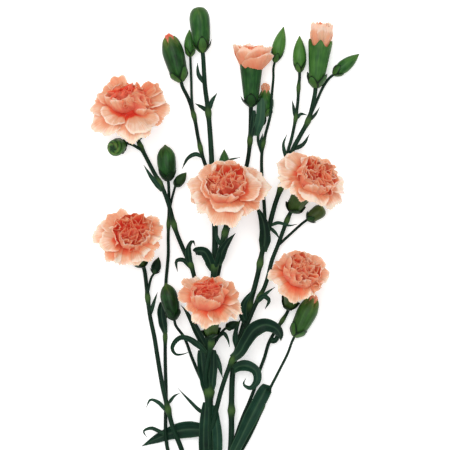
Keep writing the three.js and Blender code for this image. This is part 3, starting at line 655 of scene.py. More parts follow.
class Skin:
    """Gathers closed surfaces, in millimetres, with the traits that their finish reads."""

    def __init__(self, *traits: str) -> None:
        """Starts an empty skin.

        Args:
            traits: The names of its traits.
        """
        self.points: list[Array] = []
        self.quads: list[Array] = []
        self.triangles: list[Array] = []
        self.traits: dict[str, list[Array]] = {name: [] for name in traits}
        self.count = 0

    def _add(self, points: Array, traits: Traits) -> int:
        """Adds points.

        Args:
            points: The points, in any grid.
            traits: Their traits, each one value or an array of the grid's shape.

        Returns:
            The first one's number.
        """
        grid = points.shape[:-1]
        for name, values in self.traits.items():
            values.append(np.broadcast_to(traits.get(name, 0.0), grid).ravel())
        self.points.append(settled(points.reshape(-1, 3)))
        first = self.count
        self.count += int(np.prod(grid))
        return first

    @staticmethod
    def _cells(numbers: Array) -> Array:
        """The quads of a grid of point numbers."""
        corners = numbers[:-1, :-1], numbers[:-1, 1:], numbers[1:, 1:], numbers[1:, :-1]
        return np.stack([corner.ravel() for corner in corners], axis=-1)

    def sheet(self, grid: Array, thickness: Array | float, traits: Traits) -> None:
        """Adds a thin closed blade.

        Args:
            grid: Its middle surface, as rows of points. It faces along columns times rows.
            thickness: One value, or one for each point.
            traits: The traits of its points. The trait under is 1 on its second face.
        """
        half = np.broadcast_to(thickness, grid.shape[:2])[..., None] * facing(grid) / 2
        rows, columns = grid.shape[:2]
        first = self._add(grid + half, {**traits, "under": 0.0})
        second = self._add(grid - half, {**traits, "under": 1.0})
        numbers = np.arange(rows * columns).reshape(rows, columns)
        cells = self._cells(numbers)
        rim = np.concatenate([numbers[0, :-1], numbers[:-1, -1], numbers[-1, :0:-1], numbers[:0:-1, 0]])
        onward = np.roll(rim, -1)
        edge = np.stack([onward + first, rim + first, rim + second, onward + second], axis=-1)
        self.quads += [cells + first, cells[:, ::-1] + second, edge]

    def solid(self, rings: Array, traits: Traits) -> None:
        """Adds a solid of rings, closed at both ends.

        Args:
            rings: Rings of points that run anticlockwise, seen from the last one.
            traits: The traits of its points, each one value or an array of rings by sides.
        """
        rows, sides = rings.shape[:2]
        first = self._add(rings, traits)
        numbers = np.arange(rows * sides).reshape(rows, sides)[:, np.arange(sides + 1) % sides]
        self.quads.append(self._cells(numbers) + first)
        for row, turn in ((0, -1), (-1, 1)):
            edge = {k: np.broadcast_to(v, (rows, sides))[row].mean() for k, v in traits.items()}
            pole = self._add(rings[row].mean(axis=0)[None], edge)
            ring = numbers[row] + first
            cap = np.stack([ring[:-1], ring[1:], np.full(sides, pole)], axis=-1)
            self.triangles.append(cap[:, ::turn])

    def piece(self, name: str, finish: bpy.types.Material) -> bpy.types.Object:
        """Makes the mesh object, in metres.

        Args:
            name: Its name.
            finish: Its material.

        Returns:
            The object, at the origin.
        """
        mesh = bpy.data.meshes.new(name)
        quads = np.concatenate(self.quads)
        triangles = np.concatenate(self.triangles) if self.triangles else np.empty((0, 3), int)
        corners = np.concatenate([quads.ravel(), triangles.ravel()])
        sizes = np.repeat([4, 3], [len(quads), len(triangles)])
        mesh.vertices.add(self.count)
        mesh.vertices.foreach_set("co", (np.concatenate(self.points) * MM).ravel())
        mesh.loops.add(len(corners))
        mesh.loops.foreach_set("vertex_index", corners.astype(np.int32))
        mesh.polygons.add(len(sizes))
        mesh.polygons.foreach_set("loop_start", np.concatenate([[0], np.cumsum(sizes)[:-1]]))
        mesh.update(calc_edges=True)
        mesh.validate()
        for trait, values in self.traits.items():
            layer = mesh.attributes.new(trait, "FLOAT", "POINT")
            layer.data.foreach_set("value", np.concatenate(values).astype(np.float32))
        mesh.shade_smooth()
        mesh.set_sharp_from_angle(angle=math.radians(SEAM_ANGLE))
        mesh.materials.append(finish)
        piece = bpy.data.objects.new(name, mesh)
        bpy.context.scene.collection.objects.link(piece)
        return piece


def settled(points: Array) -> Array:
    """Presses the points that come near the table, or would sink into it, flat above it.

    Args:
        points: The points.

    Returns:
        The points, all of them above the table.
    """
    height = points[:, 2]
    pressed = TABLE_BED * np.exp(np.minimum(height - TABLE_BED, 0) / TABLE_BED)
    return np.column_stack([points[:, :2], np.where(height < TABLE_BED, pressed, height)])


def facing(grid: Array) -> Array:
    """The unit normals of a grid of points, along columns times rows."""
    across, along = np.gradient(grid, axis=1), np.gradient(grid, axis=0)
    return unit(np.cross(across, along))


def seat(skin: Skin, name: str, finish: bpy.types.Material, node: str) -> None:
    """Puts a finished piece on the spray.

    Args:
        skin: Its surfaces.
        name: Its name.
        finish: Its material.
        node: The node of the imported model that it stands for.
    """
    piece = skin.piece(name, finish)
    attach(piece, BODY)
    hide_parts(node)
    LOG.info("%s: %d points, stands for %s", name, skin.count, node)


# ------------------------------------------------------------------------------ leaves and stems


@dataclass(frozen=True)
class Leaf:
    """A narrow leaf that clasps its joint, along the route of its midrib.

    It widens from its root over a share of its length, and tapers to its tip as its share to a power,
    or ends blunt. The roll turns its blade about the midrib, in degrees, from the root to the tip. A
    fresh leaf is paler than the others.
    """

    route: tuple[Point, ...]
    width: float
    roll: tuple[float, float] = (0.0, 0.0)
    blunt: bool = False
    widening: float = 0.25
    taper: float = 2.4
    fresh: float = 0.0
    thickness: float = 0.55
    root_width: float = 0.55
    thinnest: float = 0.18
    row_step: float = 1.1
    columns: int = 13

    def grow(self, skin: Skin, random: np.random.Generator) -> None:
        """Adds the blade to a skin.

        Args:
            skin: The skin.
            random: The draws for its waves and tone.
        """
        route = Route(self.route)
        rows = int(np.clip(route.length / self.row_step, 14, 60))
        v, u = np.meshgrid(np.linspace(0, 1, rows), np.linspace(-1, 1, self.columns), indexing="ij")
        root = self.root_width + (1 - self.root_width) * np.minimum(v / self.widening, 1)
        taper = 1 - 0.45 * v**6 if self.blunt else 1 - v**self.taper
        half = np.maximum(self.width / 2 * root * taper, self.thinnest)
        half = half * (1 + 0.03 * np.sin(v * 17 + ANY_TURN * random.random()))
        side = u * half
        keel = 0.3 * np.abs(side) ** 1.25 - 0.05 * half
        lift = keel + 0.05 * half * u * np.sin(v * 11 + ANY_TURN * random.random())
        angle = np.radians(self.roll[0] + (self.roll[1] - self.roll[0]) * v)
        centre, across, up = (part[:, None] for part in route.frames(v[:, 0]))
        grid = centre + across * (side * np.cos(angle) - lift * np.sin(angle))[..., None]
        grid = grid + up * (side * np.sin(angle) + lift * np.cos(angle))[..., None]
        thickness = self.thickness * (0.35 + 0.65 * np.sqrt(1 - 0.98 * u * u)) * (1 - 0.5 * v)
        midrib, edges = 0.5 * np.exp(-((u / 0.14) ** 2)), 0.5 * (np.abs(u) > 0.95)
        pale = midrib + 0.6 * np.exp(-v * 12) + edges + 0.4 * self.fresh * v
        tone = random.random() + self.fresh
        skin.sheet(grid, thickness, {"along": v, "around": u * 0.5, "tone": tone, "pale": pale})


@dataclass(frozen=True)
class Stance:
    """Where a flower stands: its foot, its heading from +Y towards +X, and its lift off the table."""

    foot: Point
    heading: float
    lift: float

    def axes(self) -> Array:
        """The flower's own axes.

        Returns:
            The directions that are level, across and along its length, as rows.
        """
        turn, rise = math.radians(self.heading), math.radians(self.lift)
        flat = math.cos(rise)
        along = np.array([math.sin(turn) * flat, math.cos(turn) * flat, math.sin(rise)])
        level = unit(np.array([-along[1], along[0], 0.0]))
        return np.stack([level, np.cross(along, level), along])

    def place(self, points: Array) -> Array:
        """Points of the flower's own frame in the spray's."""
        return points @ self.axes() + np.array(self.foot)

    def lead(self) -> list[Array]:
        """The last two points of the stalk that ends in line with the flower."""
        along = self.axes()[2]
        return [np.array(self.foot) - along * back for back in (STALK_LEAD, -SEAT_DEPTH)]


@dataclass(frozen=True)
class Stem:
    """A stem: its route, radii at even steps and the shares of its length where a joint swells.

    Where it carries a flower or a bud, by its name in STANCES, it ends in line with that.
    """

    route: tuple[Point, ...]
    radius: tuple[float, ...]
    joints: tuple[float, ...] = ()
    carries: str = ""
    step: float = 1.1
    swelling: float = 0.42
    joint_reach: float = 3.0
    cut_reach: float = 1.2
    streak_length: float = 30.0
    thick_radius: float = 1.5

    def grow(self, skin: Skin, random: np.random.Generator, cut: bool = False) -> None:
        """Adds the stem to a skin.

        Args:
            skin: The skin.
            random: The draws for its tone.
            cut: Whether its root is the spray's cut end.
        """
        route = Route([*self.route, *(STANCES[self.carries].lead() if self.carries else [])])
        angles = round_angles(16 if self.radius[0] > self.thick_radius else 12)
        shares = np.linspace(0, 1, int(route.length / self.step) + 2)
        radii = np.interp(shares, np.linspace(0, 1, len(self.radius)), self.radius)
        swell = np.zeros_like(shares)
        for joint in self.joints:
            away = (shares - joint) * route.length
            swell = np.maximum(swell, np.exp(-((away / self.joint_reach) ** 2)))
        radii = radii * (1 + self.swelling * swell)
        centre, across, up = (part[:, None] for part in route.frames(shares))
        ribs = 1 + 0.035 * np.sin(3 * angles + 4 * shares[:, None])
        spread = (radii[:, None] * ribs)[..., None]
        grid = centre + (across * np.cos(angles)[:, None] - up * np.sin(angles)[:, None]) * spread
        pale = 0.6 * swell + (0.5 * np.exp(-shares * route.length / self.cut_reach) if cut else 0)
        traits = {
            "along": (shares * route.length / self.streak_length)[:, None] + 0 * ribs,
            "around": angles / AROUND + 0 * ribs,
            "tone": random.random(),
            "pale": pale[:, None] + 0 * ribs,
        }
        skin.solid(grid, traits)


# ------------------------------------------------------------------------------ buds


@dataclass(frozen=True)
class Scale:
    """A pointed scale that hugs the lower part of a bud or a calyx. Its edge is dark."""

    length: float
    width: float
    tone: float
    thickness: float = 0.34
    edge_shade: float = 2.2

    def grow(self, skin: Skin, stance: Stance, azimuth: float, foot: float, radius: float) -> None:
        """Adds the scale to a skin.

        Args:
            skin: The skin.
            stance: Where the flower stands.
            azimuth: The side that the scale is on.
            foot: Its height above the flower's foot.
            radius: The flower's radius where the scale is widest.
        """
        v, u = np.meshgrid(np.linspace(0, 1, 16), np.linspace(1, -1, 11), indexing="ij")
        half = self.width / 2 * np.sin(math.pi * np.clip(0.18 + 0.82 * v, 0, 1)) ** 0.8
        half = np.maximum(half * (1 - 0.15 * v), 0.12)
        out = radius * (0.3 + 0.76 * np.sin(math.pi / 2 * np.minimum(v / 0.8, 1)))
        out = out + 0.16 + 0.5 * np.maximum(v - 0.82, 0) * self.width
        angles = azimuth + u * half / np.maximum(out, 1)
        grid = stance.place(turned(angles, out, foot + self.length * v))
        edge = np.maximum(np.abs(u) > 0.75, v > 0.88)
        pale = 0.3 * (1 - v) * (1 - edge) * max(self.tone, 0)
        traits = {"along": v, "around": u * 0.4, "tone": self.tone - self.edge_shade * edge, "pale": pale}
        skin.sheet(grid, self.thickness * (1 - 0.5 * v * v), traits)


def grow_scales(
    skin: Skin, stance: Stance, pairs: list[Scale], turn: float, foot: float, radius: float
) -> None:
    """Adds crossed pairs of scales round the foot of a bud or a calyx.

    Args:
        skin: The skin.
        stance: Where the flower stands.
        pairs: The scale of each pair, from the outer pair in.
        turn: The first scale's side.
        foot: The scales' height above the flower's foot.
        radius: The flower's radius where they are widest.
    """
    for pair, scale in enumerate(pairs):
        for side in range(2):
            scale.grow(skin, stance, turn + pair * math.pi / 2 + side * math.pi, foot, radius)


@dataclass(frozen=True)
class Bud:
    """A closed or an opening bud, with the petal tips that show at its top.

    An opening bud shows its petals by a length, in a colour of its own warmth. The tone goes from 0,
    dark, to 1, light, and may go past both, and olive fades it. A bud that is seen from its top has a
    spiral: dark seams that wind about a light ring and a dark middle.
    """

    stance: Stance
    length: float
    radius: float
    top: BudTop = BudTop.POINTED
    shows: float = 0.0
    warmth: float = 0.6
    tone: float = 0.5
    olive: float = 0.0
    scale_tone: float = 0.9
    spiral: float = 0.0
    sides: int = 60

    def grow(self, skin: Skin, random: np.random.Generator) -> None:
        """Adds the closed bud and the scales at its foot to a skin.

        Args:
            skin: The skin.
            random: The draws for its tone and its turn.
        """
        top = self.top.value[-1][1]
        shares = np.concatenate([[0, 0.015], np.linspace(0.03, 0.9, 26), np.linspace(0.92, top, 12)])
        turn = ANY_TURN * random.random()
        v, a = np.meshgrid(shares, round_angles(self.sides), indexing="ij")
        near_top = rising(v, 0.55, 0.45)
        seams = self._five_seams(a + (0.5 + 2 * self.spiral) * near_top**2 + turn)
        radii = self.radius * outline(v, (*BUD_FOOT, *self.top.value))
        radii = radii * (1 - (0.1 + 0.1 * self.spiral) * near_top * seams**5)
        radii = radii * (1 + 0.012 * np.sin(15 * a) * np.clip(v * 4, 0, 1) * (1 - near_top))
        pale = 0.2 * np.exp(-v * 9) * max(self.scale_tone, 0) + self.olive
        pale = pale + (0.25 * near_top**3 + 0.5 * near_top * seams**6) * (1 - self.spiral)
        pale = pale + 0.55 * self.spiral * np.exp(-(((v - 0.95) / 0.022) ** 2))
        heights = v * self.length - FOOT_OVERLAP
        if self.shows:
            rim = rising(v, 0.8, 0.2)
            teeth = self._five_seams(a + turn) ** 1.4
            heights = heights + rim * self.length * 0.09 * (1 - 2.2 * teeth)
            pale = pale + 0.7 * rim**2
        tone = self.tone + TONE_SPREAD * (random.random() - 0.5)
        dark = 3 * np.minimum(2 * near_top, 1) * seams**3 + 1.4 * rising(v, 0.972, 0.02)
        traits = {"along": v, "around": a / AROUND, "tone": tone - self.spiral * dark, "pale": pale}
        skin.solid(self.stance.place(turned(a, radii, heights)), traits)
        pairs = [
            Scale(self.length * reach, self.radius * wide, self.scale_tone)
            for reach, wide in ((0.27, 1.15), (0.36, 1.3))
        ]
        grow_scales(skin, self.stance, pairs, turn, 0.2 - FOOT_OVERLAP, self.radius * 0.84)

    @staticmethod
    def _five_seams(angles: Array) -> Array:
        """A wave that is 1 along each of five seams and falls off sharply beside it."""
        return 1 - np.abs(np.sin(2.5 * angles))

    def grow_tips(self, skin: Skin, random: np.random.Generator) -> None:
        """Adds the petal tips that stand out of the open top to a skin.

        Args:
            skin: The skin.
            random: The draws for the petals.
        """
        mouth, out = self.top.value[-1][0], self.shows
        for row, count in enumerate((4, 3, 2)):
            wide = self.radius * (mouth - 0.13 * row)
            line = ((wide * 0.5, -4), (wide, -2), (wide, out * 0.4), (wide * 0.35, out + 0.4 * row))
            whorl = Whorl(count, line, 34 - 4 * row, 0.95, (0.3, self.warmth), 0.3, 0.15, 0.1, (12, 22))
            for i in range(count):
                azimuth = 2 * math.pi * (i + 0.4 * row) / count + random.uniform(-0.2, 0.2)
                Petal(whorl, azimuth, self.length, 1.0).grow(skin, self.stance, random)


@dataclass(frozen=True)
class Shoot:
    """A thin side shoot of a stem, and the flower or small bud at its end."""

    stem: str
    route: tuple[Point, ...]
    radius: float
    carries: str = ""
    bud: Bud | None = None
    joints: tuple[float, ...] = ()

    def grow(self, skin: Skin, random: np.random.Generator) -> None:
        """Adds the shoot, and its small bud, to a skin.

        Args:
            skin: The skin.
            random: The draws for its tone and its bud.
        """
        route = self.route + ((self.bud.stance.foot,) if self.bud else ())
        Stem(route, (self.radius * 1.1, self.radius), self.joints, self.carries).grow(skin, random)
        if self.bud:
            self.bud.grow(skin, random)


# ------------------------------------------------------------------------------ petals


@dataclass(frozen=True)
class Whorl:
    """One ring of petals in a head of LAYER_RADIUS.

    The midline runs from the claw to the margin, as four (distance from the axis, height above the
    throat) points of a curve. The spread is half the fan's angle and the twist the most that its end
    may turn, both in degrees. The wrap bends it round the axis, from 0 to 1, and the cup hollows it.
    The heat is the colour's warmth at the claw and at the margin, and fade the power of the change.
    Ruffle and frill are the heights of the broad and of the fine folds, and the claw is the share of
    the fan that is cut off at its foot. The turn shifts the whole ring round the axis.
    """

    count: int
    midline: tuple[tuple[float, float], ...]
    spread: float = 33.0
    wrap: float = 0.2
    heat: tuple[float, float] = (1.0, 0.1)
    ruffle: float = 1.5
    frill: float = 0.8
    claw: float = 0.3
    grid: tuple[int, int] = (18, 48)
    twist: float = 0.0
    cup: float = 0.01
    fade: float = 1.1
    turn: float = 0.0


@dataclass(frozen=True)
class Petal:
    """One fan-shaped petal with a toothed, frilled margin, from its start up the flower's axis.

    The stretch lengthens its reach and the droop lowers its margin. The waist is how much of its width
    is left at the claw, and the tooth the depth of its teeth, as a share of its length.
    """

    whorl: Whorl
    azimuth: float
    start: float
    scale: float
    stretch: float = 1.0
    droop: float = 0.0
    waist: float = 0.42
    tooth: float = 0.018
    thickness: float = 0.34
    margin_pale: float = 0.18

    def grow(self, skin: Skin, stance: Stance, random: np.random.Generator) -> None:
        """Adds the petal to a skin.

        Args:
            skin: The skin.
            stance: Where its flower stands.
            random: The draws for its folds, teeth and tone.
        """
        whorl = self.whorl
        rows, columns = whorl.grid
        v, u = np.meshgrid(np.linspace(0, 1, rows), np.linspace(1, -1, columns), indexing="ij")
        knots = self._knots()
        length = np.linalg.norm(np.diff(knots, axis=0), axis=1).sum() * 0.93
        phases = random.uniform(0, 2 * math.pi, 6)
        radial = (whorl.claw + (1 - whorl.claw) * v) * self._margin(u, v, random)
        angle = u * math.radians(whorl.spread)
        across = length * radial * np.sin(angle) * (self.waist + (1 - self.waist) * v)
        lift = self._ruffles(u, v, across, phases, random)
        twist = math.radians(whorl.twist) * random.uniform(-1, 1) * v
        across, lift = (
            across * np.cos(twist) - lift * np.sin(twist),
            across * np.sin(twist) + lift * np.cos(twist),
        )
        points = self._bent(knots, np.clip(radial * np.cos(angle), 0, 1.06), across, lift)
        hot, cold = whorl.heat
        warmth = cold + (hot - cold) * (1 - v) ** whorl.fade
        warmth = warmth + 0.08 * np.sin(phases[4] + 2 * u) - self.margin_pale * rising(v, 0.88, 0.12)
        traits = {"reach": v, "fan": u, "warmth": warmth, "tone": random.random()}
        skin.sheet(stance.place(points), self.thickness * (1 - 0.45 * v), traits)

    def _knots(self) -> Array:
        """The midline's four points, at the petal's own size, stretch and droop.

        Returns:
            The points, as (distance from the axis, height above the flower's foot).
        """
        knots = np.array(self.whorl.midline) * self.scale
        knots[:, 1] += self.start
        knots[2:, 0] *= 1 + (self.stretch - 1) * np.array([0.5, 1.0])
        knots[3, 1] -= self.droop * self.scale
        return knots

    def _margin(self, u: Array, v: Array, random: np.random.Generator) -> Array:
        """How far the fan reaches, with lobes and teeth that fade out towards the claw.

        Args:
            u: The places across the fan, 1 to -1.
            v: The places from the claw to the margin, 0 to 1.
            random: The draws for the lobes and teeth.

        Returns:
            The reach, as a share of the petal's length.
        """
        lobes = 0.03 * np.sin(2.6 * math.pi * u + random.uniform(0, AROUND))
        teeth = self.tooth * (2 * np.abs((u * 8.5 + random.random()) % 1 - 0.5) - 0.5)
        ragged = random.normal(0, self.tooth * 0.45, u.shape[1])
        shape = 1 - 0.05 * u**2 - 0.2 * u**6
        return shape * (1 + lobes * v**2) + (teeth + ragged) * rising(v, 0.72, 0.28) ** 2

    def _ruffles(
        self, u: Array, v: Array, across: Array, phases: Array, random: np.random.Generator
    ) -> Array:
        """How far the blade stands off its middle surface: broad folds, frills and a fine crinkle.

        Args:
            u: The places across the fan, 1 to -1.
            v: The places from the claw to the margin, 0 to 1.
            across: The distances from the midline.
            phases: The folds' phases.
            random: The draws for how many folds there are, and for the blade's tilt.

        Returns:
            The distances.
        """
        whorl = self.whorl
        folds = 1.5 + random.random() * 1.2
        lift = whorl.ruffle * v**1.4 * np.sin(folds * math.pi * u + phases[0])
        frills = 4.6 + 2.4 * random.random()
        wander = 1.2 * np.sin(phases[2] + 3 * u)
        lift += whorl.frill * v**2.6 * np.sin(frills * math.pi * u + phases[1] + wander)
        lift += 0.35 * whorl.frill * v**4 * np.sin(11 * math.pi * u + phases[3])
        lift += random.uniform(-0.1, 0.1) * across + whorl.cup * across**2
        return lift * self.scale**0.5

    def _bent(self, knots: Array, place: Array, across: Array, lift: Array) -> Array:
        """Lays the blade along its midline and bends it round the flower's axis.

        Args:
            knots: The midline's points.
            place: The places along the midline, as shares of its curve.
            across: The distances from the midline.
            lift: The distances off the middle surface.

        Returns:
            The points, in the flower's own frame.
        """
        t = place[..., None]
        a, b, c, d = knots
        middle = a * (1 - t) ** 3 + 3 * b * t * (1 - t) ** 2 + 3 * c * t * t * (1 - t) + d * t**3
        tangent = unit((b - a) * (1 - t) ** 2 + 2 * (c - b) * t * (1 - t) + (d - c) * t * t)
        out = middle[..., 0] - tangent[..., 1] * lift
        height = middle[..., 1] + tangent[..., 0] * lift
        bend = np.maximum(self.whorl.wrap / np.maximum(np.abs(out), 3 * self.scale), 1e-6)
        x = out - (1 - np.cos(bend * across)) / bend
        y = np.sin(bend * across) / bend
        cos, sin = math.cos(self.azimuth), math.sin(self.azimuth)
        return np.stack([x * cos - y * sin, x * sin + y * cos, height], axis=-1)


COLLAR = Whorl(
    5, ((1.2, 3), (4, 7.5), (11, 10.5), (17, 9)), 44, 0.3, (0.6, 0.1), 1.2, 0.4, cup=0, fade=1.8
)


def ball_whorls(opened: float, warmth: float) -> tuple[Whorl, ...]:
    """The whorls of a bloom's inner ball, which is BALL_HEIGHT high.

    Args:
        opened: How far it has opened, from 0, a closed ball, to 1, an open bowl.
        warmth: How much warmer its mouth is than the other petals.

    Returns:
        The whorls, from the outside in.
    """
    return (
        Whorl(
            5, ((1.2, 4), (8.5, 5.5), (14 + opened, 10.5), (8.5 + 5.5 * opened, 18)), 42, 0.85,
            (0.72, 0.2), 1.2, 0.6, twist=10,
        ),
        Whorl(
            4, ((1.2, 4), (6.5, 7), (9.5 + 1.5 * opened, 15), (7.5 + 4 * opened, 18.4)), 34, 0.7,
            (0.8, 0.22 + warmth / 2), 2.6, 0.9, twist=30, fade=1.7,
        ),
        Whorl(
            5, ((1, 5), (4, 8), (6 + opened, 15.5), (5 + 2.6 * opened, 19)), 30, 0.5,
            (0.95, 0.28 + warmth), 2.8, 0.9, twist=50, grid=(16, 40), fade=1.9,
        ),
        Whorl(
            4, ((0.8, 5), (2, 9), (2.8, 15), (2.6 + 1.4 * opened, 18.6)), 30, 0.3,
            (1.1, 0.34 + warmth), 2.6, 0.9, twist=60, grid=(16, 36), fade=1.9,
        ),
    )


CUP_WHORLS = (
    Whorl(5, ((2.5, -9), (4, -2), (8.6, 1.5), (12.8, 13.8)), 40, 0.95, (0.22, -0.06), 0.5, 0.2),
    Whorl(1, ((2.5, -9), (4, -3), (12, 1.2), (16.4, 10.6)), 50, 0.9, (0.2, -0.12), 0.5, 0.3, turn=-0.8),
    Whorl(5, ((2.5, -9), (4, -4), (6, 4), (10.2, 13)), 34, 0.9, (0.6, 0.36), 0.8, 0.3),
    Whorl(4, ((2, -8), (3, -2), (5, 4), (7, 12.6)), 30, 0.8, (0.9, 0.4), 1.2, 0.4, grid=(14, 30)),
    Whorl(3, ((1, -6), (2, 0), (2, 6), (3, 12.2)), 28, 0.7, (1.0, 0.55), 1.0, 0.4, grid=(14, 28)),
)
TUFT_WHORLS = (
    Whorl(6, ((2.5, -10), (3.5, -5), (6.8, -1), (7.2, 13.6)), 26, 0.95, (0.12, -0.3), 0.5, 0.25),
    Whorl(4, ((2.5, -10), (3, -4), (5.4, 4), (5.2, 13.8)), 28, 0.8, (0.5, 0.0), 0.8, 0.3, grid=(14, 30)),
    Whorl(3, ((1, -8), (2, -2), (2.6, 6), (2.6, 13.4)), 26, 0.6, (0.95, 0.4), 0.7, 0.3, grid=(14, 28)),
)


# ------------------------------------------------------------------------------ flowers


@dataclass(frozen=True)
class Calyx:
    """The green cup of a flower: ribbed, with five teeth and two pairs of scales at its foot.

    The tone goes from 0, dark, to 1, light, and may go past both, and olive fades it.
    """

    stance: Stance
    length: float
    radius: float
    tone: float
    olive: float
    tooth: float = 4.2
    sides: int = 80

    def grow(self, skin: Skin, random: np.random.Generator) -> None:
        """Adds the cup to a skin.

        Args:
            skin: The skin.
            random: The draws for its tone and its turn.
        """
        size, length = self.radius, self.length
        shares = np.array([0, 0.02, 0.05, 0.09, *np.linspace(0.14, 1, 24)])
        hollow = np.array([1.0, 0.93, 0.86])
        floor = size - np.array([0.75, 1.3, 1.9])
        v = np.concatenate([shares, hollow])[:, None]
        rings = np.concatenate([outline(shares, CALYX_OUTLINE) * size, floor])[:, None]
        a = round_angles(self.sides) + 0 * v
        body = np.clip((v - 0.05) * 8, 0, 1)
        rings = rings * (1 + 0.014 * np.sin(25 * a) * body) * (1 - 0.05 * (1 - fivefold(a, 0.6)) * v**4)
        rim = rising(v, 0.8, 0.2) ** 1.3
        heights = v * length + rim * self.tooth * (fivefold(a, 1.6) - 0.25)
        pale = 0.2 * np.exp(-v * 8) + 0.35 * rim * fivefold(a, 3) + self.olive
        tone = self.tone + TONE_SPREAD * (random.random() - 0.5)
        traits = {"along": v + 0 * a, "around": a / AROUND, "tone": tone, "pale": pale}
        skin.solid(self.stance.place(turned(a, rings, heights)), traits)
        turn = ANY_TURN * random.random()
        pairs = [
            Scale(length * reach, size * wide, self.tone - 0.2)
            for reach, wide in ((0.26, 1.2), (0.34, 1.35))
        ]
        grow_scales(skin, self.stance, pairs, turn, 0.3, size * 0.8)


